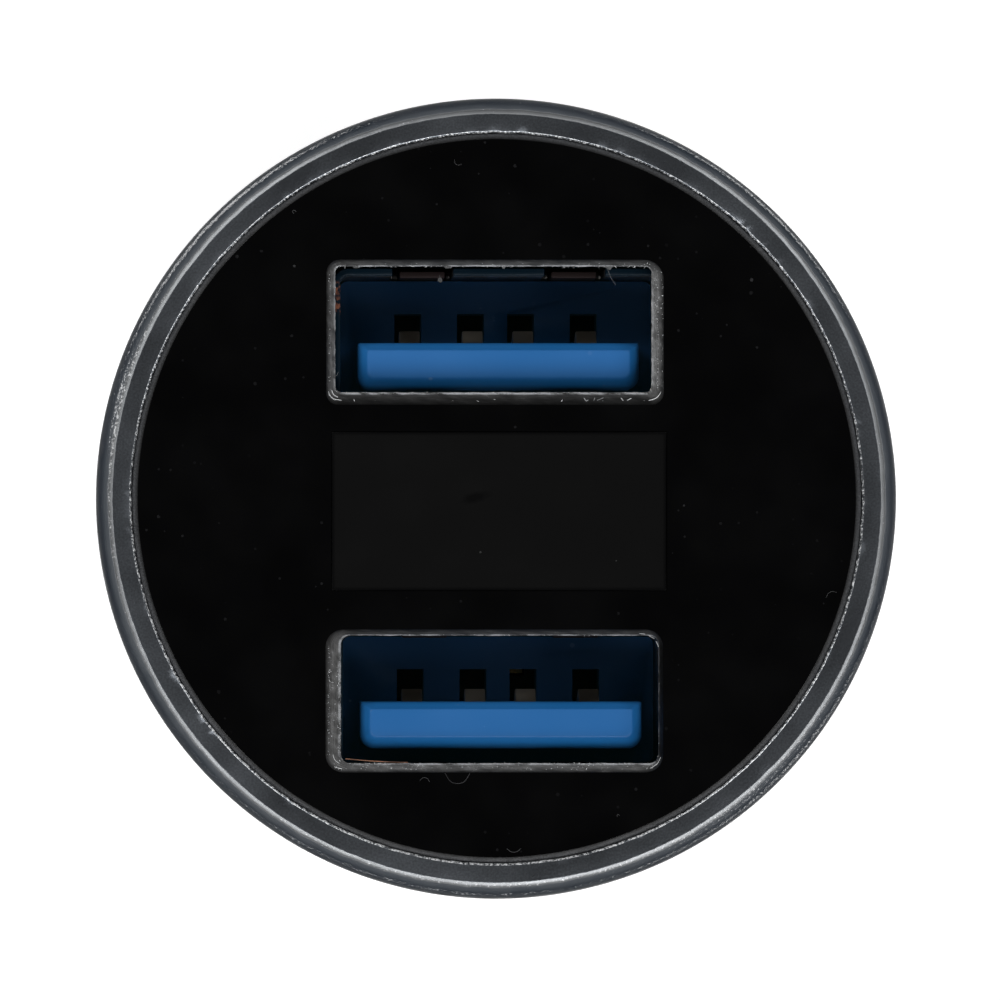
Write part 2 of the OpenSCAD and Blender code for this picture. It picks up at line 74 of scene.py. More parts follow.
# Each softbox: azimuth, elevation, distance, width, height, watts
softboxes = [
    (280, 56, 800, 420, 300, 3.2),
    (328, 50, 850, 320, 340, 1.6),
    (222, 52, 850, 320, 340, 2.1),
    (135, 54, 850, 300, 340, 2.3),
    (45, 54, 850, 300, 340, 2.0),
]


def buildStage(s):
    bpy.ops.mesh.primitive_plane_add(size=s["floorSize"] * mm, location=(0, 0, (pinTip - s["floorGap"]) * mm))
    floor = bpy.context.object
    floor.name = "floor"
    material, tree, shader = startMaterial("paleFloor")
    grain = addGroup(tree, surfaceGrain, Scale=60, Detail=3)
    tint = addNode(tree, "ShaderNodeMix", data_type="RGBA")
    tint.inputs["A"].default_value = (*s["floorColor"], 1)
    tint.inputs["B"].default_value = (*[c * 0.97 for c in s["floorColor"]], 1)
    tree.links.new(grain.outputs["Shade"], tint.inputs["Factor"])
    tree.links.new(tint.outputs["Result"], shader.inputs["Base Color"])
    shader.inputs["Roughness"].default_value = 0.75
    shader.inputs["Specular IOR Level"].default_value = 0.2
    shader.inputs["Emission Strength"].default_value = s["floorGlow"]
    clear = addNode(tree, "ShaderNodeBsdfTransparent")
    sides = addNode(tree, "ShaderNodeMixShader")
    tree.links.new(addNode(tree, "ShaderNodeNewGeometry").outputs["Backfacing"], sides.inputs[0])
    tree.links.new(shader.outputs["BSDF"], sides.inputs[1])
    tree.links.new(clear.outputs[0], sides.inputs[2])
    tree.links.new(sides.outputs[0], tree.nodes["Material Output"].inputs["Surface"])
    floor.data.materials.append(material)

    camera = bpy.data.objects.new("camera", bpy.data.cameras.new("camera"))
    bpy.context.scene.collection.objects.link(camera)
    camera.data.sensor_width = 36
    camera.data.lens = 36 * s["cameraDistance"] / s["frameWidth"]
    camera.data.clip_start = 0.01
    camera.data.clip_end = 50
    target = Vector((s["aim"][0], s["aim"][1], lipTop)) * mm
    camera.location = target + Vector((s["cameraSide"][0], s["cameraSide"][1], s["cameraDistance"])) * mm
    back = (camera.location - target).normalized()
    right = Vector((0, 1, 0)).cross(back).normalized()
    camera.rotation_euler = Matrix((right, back.cross(right), back)).transposed().to_euler()
    bpy.context.scene.camera = camera

    for index, (azimuth, elevation, distance, width, height, watts) in enumerate(softboxes):
        light = bpy.data.objects.new(f"softbox{index}", bpy.data.lights.new(f"softbox{index}", "AREA"))
        bpy.context.scene.collection.objects.link(light)
        light.data.shape = "RECTANGLE"
        light.data.size = width * mm
        light.data.size_y = height * mm
        light.data.energy = watts
        a = math.radians(azimuth)
        e = math.radians(elevation)
        away = Vector((math.cos(a) * math.cos(e), math.sin(a) * math.cos(e), math.sin(e)))
        light.location = target + away * distance * mm
        light.rotation_euler = (-away).to_track_quat("-Z", "Z").to_euler()

    world = bpy.data.worlds.new("studio")
    bpy.context.scene.world = world
    world.use_nodes = True
    tree = world.node_tree
    coordinate = addNode(tree, "ShaderNodeTexCoord")
    split = addNode(tree, "ShaderNodeSeparateXYZ")
    glow = addNode(tree, "ShaderNodeMapRange", clamp=True)
    glow.inputs["From Min"].default_value = 0.1
    glow.inputs["From Max"].default_value = 0.6
    glow.inputs["To Min"].default_value = s["horizonGlow"]
    glow.inputs["To Max"].default_value = s["zenithGlow"]
    tree.links.new(coordinate.outputs["Generated"], split.inputs[0])
    tree.links.new(split.outputs["Z"], glow.inputs["Value"])
    tree.links.new(glow.outputs["Result"], tree.nodes["Background"].inputs["Strength"])
    tree.nodes["Background"].inputs["Color"].default_value = (1, 1, 1, 1)
    bpy.context.scene.view_settings.view_transform = "Standard"
    print("stage built")


# Node helpers
def addNode(tree, kind, **settings):
    node = tree.nodes.new(kind)
    for key, value in settings.items():
        setattr(node, key, value)
    return node


def addGroup(tree, group, **values):
    node = tree.nodes.new("ShaderNodeGroup")
    node.node_tree = group
    for key, value in values.items():
        node.inputs[key].default_value = value
    return node


def startMaterial(name):
    material = bpy.data.materials.new(name)
    material.use_nodes = True
    return material, material.node_tree, material.node_tree.nodes["Principled BSDF"]


def mixColours(tree, mask, low, high):
    node = addNode(tree, "ShaderNodeMix", data_type="RGBA")
    for socket, value in (("A", low), ("B", high)):
        if isinstance(value, tuple):
            node.inputs[socket].default_value = (*value, 1)
        else:
            tree.links.new(value, node.inputs[socket])
    tree.links.new(mask, node.inputs["Factor"])
    return node.outputs["Result"]


def remap(tree, value, low, high, newLow=0.0, newHigh=1.0):
    node = addNode(tree, "ShaderNodeMapRange", clamp=True)
    for socket, number in (("From Min", low), ("From Max", high), ("To Min", newLow), ("To Max", newHigh)):
        node.inputs[socket].default_value = number
    tree.links.new(value, node.inputs["Value"])
    return node.outputs["Result"]


def combine(tree, operation, a, b):
    node = addNode(tree, "ShaderNodeMath", operation=operation)
    for socket, value in ((0, a), (1, b)):
        if isinstance(value, (int, float)):
            node.inputs[socket].default_value = value
        else:
            tree.links.new(value, node.inputs[socket])
    return node.outputs[0]


def addBump(tree, shader, height, distance, strength=1.0):
    bump = addNode(tree, "ShaderNodeBump")
    bump.inputs["Distance"].default_value = distance * mm
    bump.inputs["Strength"].default_value = strength
    tree.links.new(height, bump.inputs["Height"])
    tree.links.new(bump.outputs["Normal"], shader.inputs["Normal"])
    return bump


def newGroup(name, inputs, outputs):
    group = bpy.data.node_groups.new(name, "ShaderNodeTree")
    for socket, kind, value in inputs:
        item = group.interface.new_socket(socket, in_out="INPUT", socket_type=kind)
        item.default_value = value
    for socket in outputs:
        group.interface.new_socket(socket, in_out="OUTPUT", socket_type="NodeSocketFloat")
    return group, group.nodes.new("NodeGroupInput"), group.nodes.new("NodeGroupOutput")


def noiseNode(tree, vector, scale, detail=2.0, rough=0.5):
    node = addNode(tree, "ShaderNodeTexNoise")
    node.inputs["Detail"].default_value = detail
    node.inputs["Roughness"].default_value = rough
    tree.links.new(vector, node.inputs["Vector"])
    if isinstance(scale, (int, float)):
        node.inputs["Scale"].default_value = scale
    else:
        tree.links.new(scale, node.inputs["Scale"])
    return node


# Fine all-over grain: a height for the bump and a shade for colour and roughness
def makeSurfaceGrain():
    group, start, end = newGroup("surfaceGrain", [("Scale", "NodeSocketFloat", 1000.0),
                                                  ("Detail", "NodeSocketFloat", 2.0)], ["Height", "Shade"])
    place = addNode(group, "ShaderNodeTexCoord").outputs["Object"]
    fine = noiseNode(group, place, start.outputs["Scale"], 3)
    group.links.new(start.outputs["Detail"], fine.inputs["Detail"])
    broad = noiseNode(group, place, combine(group, "MULTIPLY", start.outputs["Scale"], 0.12), 2)
    group.links.new(fine.outputs["Fac"], end.inputs["Height"])
    group.links.new(remap(group, broad.outputs["Fac"], 0.35, 0.65), end.inputs["Shade"])
    return group


# Worn edges: the wear painted on a mesh, broken up by noise
def makeEdgeWear():
    group, start, end = newGroup("edgeWear", [("Painted", "NodeSocketFloat", 0.0),
                                              ("Scale", "NodeSocketFloat", 2500.0),
                                              ("Amount", "NodeSocketFloat", 0.5),
                                              ("Softness", "NodeSocketFloat", 0.25)], ["Mask"])
    wear = start.outputs["Painted"]
    place = addNode(group, "ShaderNodeTexCoord").outputs["Object"]
    broken = noiseNode(group, place, start.outputs["Scale"], 4, 0.65).outputs["Fac"]
    total = combine(group, "ADD", combine(group, "MULTIPLY", wear, 1.4),
                    combine(group, "SUBTRACT", broken, 0.5))
    low = combine(group, "SUBTRACT", 1.0, start.outputs["Amount"])
    node = addNode(group, "ShaderNodeMapRange", clamp=True)
    group.links.new(total, node.inputs["Value"])
    group.links.new(low, node.inputs["From Min"])
    group.links.new(combine(group, "ADD", low, start.outputs["Softness"]), node.inputs["From Max"])
    group.links.new(node.outputs["Result"], end.inputs["Mask"])
    return group


# Dust: small scattered specks, denser in patches
def makeDustSpecks():
    group, start, end = newGroup("dustSpecks", [("Scale", "NodeSocketFloat", 900.0),
                                                ("Size", "NodeSocketFloat", 0.12),
                                                ("Density", "NodeSocketFloat", 0.4)], ["Mask"])
    place = addNode(group, "ShaderNodeTexCoord").outputs["Object"]
    cells = addNode(group, "ShaderNodeTexVoronoi")
    group.links.new(place, cells.inputs["Vector"])
    group.links.new(start.outputs["Scale"], cells.inputs["Scale"])
    tone = addNode(group, "ShaderNodeSeparateColor")
    group.links.new(cells.outputs["Color"], tone.inputs[0])
    speck = combine(group, "LESS_THAN", cells.outputs["Distance"],
                    combine(group, "MULTIPLY", start.outputs["Size"], tone.outputs["Green"]))
    chosen = combine(group, "LESS_THAN", tone.outputs["Red"], start.outputs["Density"])
    patch = remap(group, noiseNode(group, place, 260, 2).outputs["Fac"], 0.42, 0.62)
    both = combine(group, "MULTIPLY", speck, chosen)
    group.links.new(combine(group, "MULTIPLY", both, patch), end.inputs["Mask"])
    return group


# Turning marks: fine rings round the axis, as a height
def makeTurningMarks():
    group, start, end = newGroup("turningMarks", [("Pitch", "NodeSocketFloat", 6000.0)], ["Height"])
    place = addNode(group, "ShaderNodeTexCoord").outputs["Object"]
    split = addNode(group, "ShaderNodeSeparateXYZ")
    group.links.new(place, split.inputs[0])
    radius = combine(group, "SQRT", combine(group, "ADD",
        combine(group, "MULTIPLY", split.outputs["X"], split.outputs["X"]),
        combine(group, "MULTIPLY", split.outputs["Y"], split.outputs["Y"])), 0)
    join = addNode(group, "ShaderNodeCombineXYZ")
    group.links.new(radius, join.inputs["X"])
    group.links.new(split.outputs["Z"], join.inputs["Y"])
    rings = noiseNode(group, join.outputs[0], start.outputs["Pitch"], 1)
    group.links.new(rings.outputs["Fac"], end.inputs["Height"])
    return group


surfaceGrain = makeSurfaceGrain()
edgeWear = makeEdgeWear()
dustSpecks = makeDustSpecks()
turningMarks = makeTurningMarks()
buildStage(stage)


# Materials
def makeAnodisedMetal():
    look = {"base": (0.124, 0.134, 0.148), "dark": (0.088, 0.095, 0.105), "worn": (0.22, 0.228, 0.236),
            "chip": (0.6, 0.61, 0.62), "flankPaintedShade": (0.14, 0.147, 0.156), "rough": 0.3}
    material, tree, shader = startMaterial("anodisedMetal")
    grain = addGroup(tree, surfaceGrain, Scale=12000, Detail=4)
    cloud = addGroup(tree, surfaceGrain, Scale=2200, Detail=2)
    wear = addGroup(tree, edgeWear, Scale=6500, Amount=0.42, Softness=0.25)
    chips = addGroup(tree, edgeWear, Scale=11000, Amount=0.16, Softness=0.12)
    tree.links.new(addNode(tree, "ShaderNodeAttribute", attribute_name="wear").outputs["Fac"],
                   wear.inputs["Painted"])
    tree.links.new(addNode(tree, "ShaderNodeAttribute", attribute_name="chips").outputs["Fac"],
                   chips.inputs["Painted"])
    rings = addGroup(tree, turningMarks, Pitch=7000)
    shade = mixColours(tree, remap(tree, grain.outputs["Height"], 0.35, 0.65), look["dark"], look["base"])
    # Painted shade: the upper flank gets its own base colour, set for how it reflects the floor and lamps; the metal
    # there is no different
    flankPaintedShade = addNode(tree, "ShaderNodeAttribute", attribute_name="flankPaintedShade").outputs["Fac"]
    shade = mixColours(tree, flankPaintedShade, shade, look["flankPaintedShade"])
    worn = mixColours(tree, wear.outputs["Mask"], shade, look["worn"])
    tree.links.new(mixColours(tree, chips.outputs["Mask"], worn, look["chip"]), shader.inputs["Base Color"])
    rough = remap(tree, wear.outputs["Mask"], 0, 1, look["rough"], 0.42)
    patchy = remap(tree, cloud.outputs["Shade"], 0, 1, -0.03, 0.03)
    tree.links.new(combine(tree, "ADD", rough, patchy), shader.inputs["Roughness"])
    height = combine(tree, "ADD", grain.outputs["Height"],
                     combine(tree, "MULTIPLY", rings.outputs["Height"], 0.8))
    addBump(tree, shader, height, 0.004, 0.8)
    tree.links.new(remap(tree, chips.outputs["Mask"], 0, 1, 1, 0.3), shader.inputs["Metallic"])
    shader.inputs["Specular Tint"].default_value = (0.17, 0.175, 0.18, 1)
    return material


def makeGlossBlack():
    material, tree, shader = startMaterial("glossBlack")
    dust = addGroup(tree, dustSpecks, Scale=1500, Size=0.11, Density=0.06)
    fine = addGroup(tree, dustSpecks, Scale=4200, Size=0.3, Density=0.08)
    grain = addGroup(tree, surfaceGrain, Scale=2600, Detail=3)
    specks = combine(tree, "MAXIMUM", combine(tree, "MULTIPLY", dust.outputs["Mask"], 0.2),
                     combine(tree, "MULTIPLY", fine.outputs["Mask"], 0.05))
    base = mixColours(tree, grain.outputs["Shade"], (0.0005, 0.0005, 0.0006), (0.0009, 0.0009, 0.001))
    tree.links.new(mixColours(tree, specks, base, (0.14, 0.14, 0.15)), shader.inputs["Base Color"])
    rough = remap(tree, grain.outputs["Shade"], 0, 1, 0.1, 0.14)
    tree.links.new(combine(tree, "ADD", rough, combine(tree, "MULTIPLY", specks, 0.5)), shader.inputs["Roughness"])
    addBump(tree, shader, grain.outputs["Height"], 0.002, 0.25)
    shader.inputs["Specular IOR Level"].default_value = 0.45
    return material


# The frosted chamfer round the plate
def makeFrostedEdge():
    material, tree, shader = startMaterial("frostedEdge")
    grain = addGroup(tree, surfaceGrain, Scale=16000, Detail=4)
    tone = addNode(tree, "ShaderNodeAttribute", attribute_name="tone").outputs["Fac"]
    broken = combine(tree, "MULTIPLY", tone, remap(tree, grain.outputs["Height"], 0.35, 0.65, 0.4, 1.4))
    shade = mixColours(tree, broken, (0.0015, 0.0016, 0.0018), (0.05, 0.052, 0.056))
    tree.links.new(shade, shader.inputs["Base Color"])
    tree.links.new(remap(tree, grain.outputs["Shade"], 0, 1, 0.38, 0.5), shader.inputs["Roughness"])
    shader.inputs["Specular IOR Level"].default_value = 0.2
    addBump(tree, shader, grain.outputs["Height"], 0.01, 0.8)
    return material


# The cut wall of the port holes: streaks along the cut, bright flecks and a burr at the inner edge. The tone attribute
# scales the streaks and flecks of each side as painted light and shade.
def makeCutEdge():
    material, tree, shader = startMaterial("cutEdge")
    place = addNode(tree, "ShaderNodeUVMap", uv_map="cut").outputs["UV"]
    split = addNode(tree, "ShaderNodeSeparateXYZ")
    tree.links.new(place, split.inputs[0])
    stretch = addNode(tree, "ShaderNodeMapping")
    stretch.inputs["Scale"].default_value = (0.9, 26, 1)
    tree.links.new(place, stretch.inputs["Vector"])
    streaks = noiseNode(tree, stretch.outputs["Vector"], 1.0, 3, 0.6).outputs["Fac"]
    flecks = noiseNode(tree, place, 13, 4, 0.7).outputs["Fac"]
    patches = noiseNode(tree, place, 1.6, 2).outputs["Fac"]
    tone = addNode(tree, "ShaderNodeAttribute", attribute_name="tone").outputs["Fac"]
    burr = addNode(tree, "ShaderNodeAttribute", attribute_name="burr").outputs["Fac"]
    streak = remap(tree, streaks, 0.3, 0.75, 0.35, 1.55)
    patched = combine(tree, "MULTIPLY", streak, remap(tree, patches, 0.35, 0.65, 0.65, 1.35))
    # The streaks times the tone of painted light and shade of each side
    paintedLightColour = addNode(tree, "ShaderNodeMix", data_type="RGBA", blend_type="MULTIPLY")
    paintedLightColour.inputs["Factor"].default_value = 1
    tree.links.new(patched, paintedLightColour.inputs["A"])
    tree.links.new(tone, paintedLightColour.inputs["B"])
    fleck = remap(tree, combine(tree, "ADD", flecks, combine(tree, "MULTIPLY", patches, 0.35)), 0.8, 0.9)
    line = combine(tree, "MULTIPLY", burr, remap(tree, combine(tree, "ADD", flecks, patches), 0.86, 1.1))
    bright = combine(tree, "MAXIMUM", combine(tree, "MULTIPLY", combine(tree, "MULTIPLY", fleck, tone), 5), line)
    tree.links.new(mixColours(tree, bright, paintedLightColour.outputs["Result"], (0.6, 0.62, 0.65)),
                   shader.inputs["Base Color"])
    shader.inputs["Roughness"].default_value = 0.5
    shader.inputs["Specular IOR Level"].default_value = 0.12
    height = combine(tree, "ADD", streaks, combine(tree, "MULTIPLY", flecks, 0.6))
    addBump(tree, shader, height, 0.02, 0.6)
    return material


def makeSmokedWindow():
    material, tree, shader = startMaterial("smokedWindow")
    fade = addNode(tree, "ShaderNodeAttribute", attribute_name="fade").outputs["Fac"]
    grain = addGroup(tree, surfaceGrain, Scale=2600, Detail=3)
    dust = addGroup(tree, dustSpecks, Scale=1500, Size=0.11, Density=0.06)
    base = mixColours(tree, fade, (0.001, 0.001, 0.0011), (0.0034, 0.0034, 0.0034))
    place = addNode(tree, "ShaderNodeTexCoord").outputs["Object"]
    smear = addNode(tree, "ShaderNodeMapping", vector_type="TEXTURE")
    smear.inputs["Location"].default_value = (-0.00085, 0.00003, 0.0228)
    smear.inputs["Rotation"].default_value = (0, 0, 0.25)
    smear.inputs["Scale"].default_value = (0.0006, 0.00022, 0.01)
    tree.links.new(place, smear.inputs["Vector"])
    length = addNode(tree, "ShaderNodeVectorMath", operation="LENGTH")
    tree.links.new(smear.outputs["Vector"], length.inputs[0])
    broken = noiseNode(tree, place, 3000, 3).outputs["Fac"]
    dark = remap(tree, combine(tree, "ADD", length.outputs["Value"], broken), 0.9, 1.6, 0.75, 0)
    smeared = mixColours(tree, dark, base, (0.001, 0.001, 0.0011))
    specks = combine(tree, "MULTIPLY", dust.outputs["Mask"], 0.4)
    tree.links.new(mixColours(tree, specks, smeared, (0.1, 0.1, 0.1)), shader.inputs["Base Color"])
    tree.links.new(remap(tree, grain.outputs["Shade"], 0, 1, 0.08, 0.14), shader.inputs["Roughness"])
    addBump(tree, shader, grain.outputs["Height"], 0.002, 0.25)
    return material


def makeShellSteel():
    look = {"inside": (0.3, 0.29, 0.28), "finger": (0.016, 0.0145, 0.014), "front": (0.0016, 0.0075, 0.014), "tip": (0.018, 0.0125, 0.0125),
            "spots": [((-0.0063, 0.0083, 0.02145), 0.0003), ((-0.00625, 0.0076, 0.02145), 0.0004)]}
    material, tree, shader = startMaterial("shellSteel")
    grain = addGroup(tree, surfaceGrain, Scale=2400, Detail=3)
    place = addNode(tree, "ShaderNodeTexCoord").outputs["Object"]
    split = addNode(tree, "ShaderNodeSeparateXYZ")
    tree.links.new(place, split.inputs[0])
    middle = combine(tree, "ABSOLUTE", combine(tree, "SUBTRACT", split.outputs["X"], 0.00015), 0)
    side = combine(tree, "ABSOLUTE", combine(tree, "SUBTRACT", middle, 0.003), 0)
    dull = combine(tree, "LESS_THAN", side, 0.00098)
    # Painted shade: the front edge of the shell is a dull dark bluish non-metal colour, with a blue cast like light off
    # the insert; the front tips of the fingers become a dull dark brown
    front = remap(tree, split.outputs["Z"], 0.0203, 0.0209)
    inside = mixColours(tree, grain.outputs["Shade"], look["inside"], tuple(c * 1.2 for c in look["inside"]))
    tip = combine(tree, "MULTIPLY", dull, remap(tree, split.outputs["Z"], 0.0188, 0.0189))
    painted = combine(tree, "MAXIMUM", front, tip)
    mouth = mixColours(tree, dull, look["front"], look["tip"])
    colour = mixColours(tree, painted, mixColours(tree, dull, inside, look["finger"]), mouth)
    broken = remap(tree, noiseNode(tree, place, 4200, 3, 0.6).outputs["Fac"], 0.48, 0.58)
    for spot, radius in look["spots"]:
        away = addNode(tree, "ShaderNodeVectorMath", operation="DISTANCE")
        away.inputs[1].default_value = spot
        tree.links.new(place, away.inputs[0])
        near = remap(tree, away.outputs["Value"], radius * 0.6, radius, 1, 0)
        colour = mixColours(tree, combine(tree, "MULTIPLY", near, broken), colour, (0.16, 0.06, 0.035))
    tree.links.new(colour, shader.inputs["Base Color"])
    tree.links.new(remap(tree, dull, 0, 1, 0.3, 0.6), shader.inputs["Roughness"])
    addBump(tree, shader, grain.outputs["Height"], 0.004, 0.6)
    tree.links.new(remap(tree, painted, 0, 1, 1, 0.1), shader.inputs["Metallic"])
    shader.inputs["Specular IOR Level"].default_value = 0.1
    return material


def makePlastic(name, low, high, rough, grainScale, bumpDepth, dusty=0.0, specular=0.4, paintedLightColour=None):
    material, tree, shader = startMaterial(name)
    grain = addGroup(tree, surfaceGrain, Scale=grainScale, Detail=3)
    dust = addGroup(tree, dustSpecks, Scale=1900, Size=0.2, Density=0.2)
    base = mixColours(tree, grain.outputs["Shade"], low, high)
    # Painted light: where a second colour is given, the tone attribute mixes it in, and the faint emission is a painted
    # glow that lifts the parts deep in the port
    if paintedLightColour:
        tone = addNode(tree, "ShaderNodeAttribute", attribute_name="tone").outputs["Fac"]
        base = mixColours(tree, tone, base, paintedLightColour)
        shader.inputs["Emission Color"].default_value = (0.0004, 0.0014, 0.0014, 1)
        shader.inputs["Emission Strength"].default_value = 1
    specks = combine(tree, "MULTIPLY", dust.outputs["Mask"], dusty)
    pale = tuple(min(1, c * 2 + 0.15) for c in high)
    tree.links.new(mixColours(tree, specks, base, pale), shader.inputs["Base Color"])
    tree.links.new(remap(tree, grain.outputs["Shade"], 0, 1, rough - 0.05, rough + 0.05),
                   shader.inputs["Roughness"])
    addBump(tree, shader, grain.outputs["Height"], bumpDepth, 0.6)
    shader.inputs["Specular IOR Level"].default_value = specular
    return material


def makeMetal(name, low, high, rough, grainScale, bumpDepth, brushed=False):
    material, tree, shader = startMaterial(name)
    grain = addGroup(tree, surfaceGrain, Scale=grainScale, Detail=3)
    tree.links.new(mixColours(tree, grain.outputs["Shade"], low, high), shader.inputs["Base Color"])
    tree.links.new(remap(tree, grain.outputs["Shade"], 0, 1, rough - 0.05, rough + 0.07),
                   shader.inputs["Roughness"])
    height = grain.outputs["Height"]
    if brushed:
        rings = addGroup(tree, turningMarks, Pitch=9000)
        height = combine(tree, "ADD", height, rings.outputs["Height"])
    addBump(tree, shader, height, bumpDepth, 0.6)
    shader.inputs["Metallic"].default_value = 1
    return material


anodisedMetal = makeAnodisedMetal()
glossBlack = makeGlossBlack()
frostedEdge = makeFrostedEdge()
cutEdge = makeCutEdge()
smokedWindow = makeSmokedWindow()
# The blue inserts: their second colour is painted light on the tongue's bevels, and they carry the painted glow
bluePlastic = makePlastic("bluePlastic", (0.0056, 0.046, 0.145), (0.007, 0.053, 0.163), 0.42, 1500, 0.006, 0.35, 0.22,
                          paintedLightColour=(0.02, 0.215, 0.6))
mouldedBlack = makePlastic("mouldedBlack", (0.0075, 0.0075, 0.008), (0.0105, 0.0105, 0.011), 0.48, 9000, 0.02, 0.1, 0.32)
insideBlack = makePlastic("insideBlack", (0.01, 0.01, 0.01), (0.016, 0.016, 0.016), 0.55, 3000, 0.01)
boardGreen = makePlastic("boardGreen", (0.012, 0.075, 0.035), (0.02, 0.11, 0.05), 0.3, 900, 0.004)
chipBlack = makePlastic("chipBlack", (0.02, 0.02, 0.022), (0.03, 0.03, 0.032), 0.5, 4000, 0.01)
darkFerrite = makePlastic("darkFerrite", (0.022, 0.022, 0.024), (0.035, 0.035, 0.037), 0.6, 3500, 0.015)
tanCeramic = makePlastic("tanCeramic", (0.42, 0.3, 0.17), (0.5, 0.37, 0.22), 0.45, 2500, 0.006)
redSleeve = makePlastic("redSleeve", (0.35, 0.012, 0.01), (0.42, 0.018, 0.014), 0.4, 2500, 0.006)
softSheet = makePlastic("softSheet", (0.02, 0.02, 0.02), (0.03, 0.03, 0.03), 0.8, 3000, 0.01)
shellSteel = makeShellSteel()
tinnedSteel = makeMetal("tinnedSteel", (0.42, 0.4, 0.38), (0.6, 0.58, 0.55), 0.35, 2400, 0.004)
springSteel = makeMetal("springSteel", (0.5, 0.5, 0.5), (0.66, 0.66, 0.65), 0.28, 3200, 0.003)
nickelBlade = makeMetal("nickelBlade", (0.3, 0.27, 0.22), (0.42, 0.38, 0.31), 0.4, 3200, 0.004)
pinNickel = makeMetal("pinNickel", (0.58, 0.56, 0.52), (0.7, 0.68, 0.64), 0.22, 2600, 0.003, brushed=True)
brassPlate = makeMetal("brassPlate", (0.55, 0.38, 0.14), (0.68, 0.49, 0.2), 0.35, 2600, 0.004)
copperWire = makeMetal("copperWire", (0.55, 0.22, 0.1), (0.68, 0.3, 0.15), 0.3, 2600, 0.004, brushed=True)
canMetal = makeMetal("canMetal", (0.2, 0.2, 0.22), (0.3, 0.3, 0.32), 0.35, 2600, 0.003)
print("materials made")


# Mesh helpers
def bezier(a, b, c, steps):
    points = []
    for i in range(steps + 1):
        t = i / steps
        points.append(tuple((1 - t) ** 2 * a[k] + 2 * t * (1 - t) * b[k] + t * t * c[k] for k in range(2)))
    return points


# A smooth line through a few points
def smoothLine(places, steps):
    ends = [Vector(places[0])] + [Vector(p) for p in places] + [Vector(places[-1])]
    line = []
    for a, b, c, d in zip(ends, ends[1:], ends[2:], ends[3:]):
        for i in range(steps):
            t = i / steps
            line.append(0.5 * (2 * b + (c - a) * t + (2 * a - 5 * b + 4 * c - d) * t * t
                               + (3 * b - a - 3 * c + d) * t ** 3))
    return line + [ends[-1]]


def meshObject(name, points, faces, sharpAngle=32):
    mesh = bpy.data.meshes.new(name)
    mesh.from_pydata([Vector(p) * mm for p in points], [], faces)
    work = bmesh.new()
    work.from_mesh(mesh)
    bmesh.ops.recalc_face_normals(work, faces=work.faces)
    work.to_mesh(mesh)
    work.free()
    mesh.polygons.foreach_set("use_smooth", [True] * len(mesh.polygons))
    mesh.set_sharp_from_angle(angle=math.radians(sharpAngle))
    item = bpy.data.objects.new(name, mesh)
    bpy.context.scene.collection.objects.link(item)
    return item


def paint(item, attribute, values):
    layer = item.data.attributes.new(attribute, "FLOAT", "POINT")
    layer.data.foreach_set("value", values)


def finishPiece(item, material, body, slot, *replaced):
    if not item.data.materials:
        item.data.materials.append(material)
    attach(item, body)
    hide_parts(*replaced)
    return item


# Turned piece: the points of its closed profile are (radius, height, wear, chips)
def turned(name, profile, segments, ragged):
    points = []
    painted = ([], [])
    faces = []
    rows = []
    for radius, height, worn, chipped in profile:
        row = []
        for k in range(segments):
            angle = 2 * math.pi * k / segments
            r, z, wear, chips = ragged(radius, height, worn, chipped, angle)
            row.append(len(points))
            points.append((r * math.cos(angle), r * math.sin(angle), z))
            painted[0].append(wear)
            painted[1].append(chips)
        rows.append(row)
    for a, b in zip(rows, rows[1:] + rows[:1]):
        for k in range(segments):
            n = (k + 1) % segments
            faces.append((a[k], b[k], b[n], a[n]))
    item = meshObject(name, points, faces)
    paint(item, "wear", painted[0])
    paint(item, "chips", painted[1])
    return item


# Copy of a CAD node with its flat faces joined and its edges rounded
def softened(name, node, width, segments=2, angle=25):
    source = nodes[node]
    item = bpy.data.objects.new(name, source.data.copy())
    item.data.materials.clear()
    bpy.context.scene.collection.objects.link(item)
    work = bmesh.new()
    work.from_mesh(item.data)
    bmesh.ops.remove_doubles(work, verts=work.verts, dist=1e-7)
    bmesh.ops.dissolve_limit(work, angle_limit=math.radians(1.0), verts=work.verts, edges=work.edges)
    work.to_mesh(item.data)
    work.free()
    bevel = item.modifiers.new("rounding", "BEVEL")
    bevel.width = width * mm
    bevel.segments = segments
    bevel.limit_method = "ANGLE"
    bevel.angle_limit = math.radians(angle)
    bevel.harden_normals = False
    applyModifiers(item)
    item.data.polygons.foreach_set("use_smooth", [True] * len(item.data.polygons))
    item.data.set_sharp_from_angle(angle=math.radians(40))
    return item


def applyModifiers(item):
    bpy.context.view_layer.update()
    evaluated = item.evaluated_get(bpy.context.evaluated_depsgraph_get())
    mesh = bpy.data.meshes.new_from_object(evaluated)
    item.modifiers.clear()
    item.data = mesh


# The metal head
headShell = {
    "widest": 15.8, "shoulder": 13.3, "hole": 10.0, "floor": 1.2, "flareTop": 11.0, "flankLow": 20.85,
    "bevelOuter": 15.32, "lipOuter": 15.17, "lipInner": 14.465, "rounded": 14.385, "wall": 14.42, "bevelDrop": 0.075,
    "segments": 512,
    "scuffs": [(135, 30, 0.24, 15.61, 0.09), (45, 26, 0.2, 15.63, 0.08), (322, 32, 0.16, 15.63, 0.09),
               (310, 26, 0.14, 15.42, 0.08), (165, 10, 0.2, 15.42, 0.07), (250, 50, 0.14, 15.62, 0.09),
               (168, 24, 0.12, 15.28, 0.07), (282, 60, 0.08, 15.25, 0.06), (275, 60, 0.05, 14.42, 0.05),
               (75, 24, 0.06, 15.61, 0.08)],
}


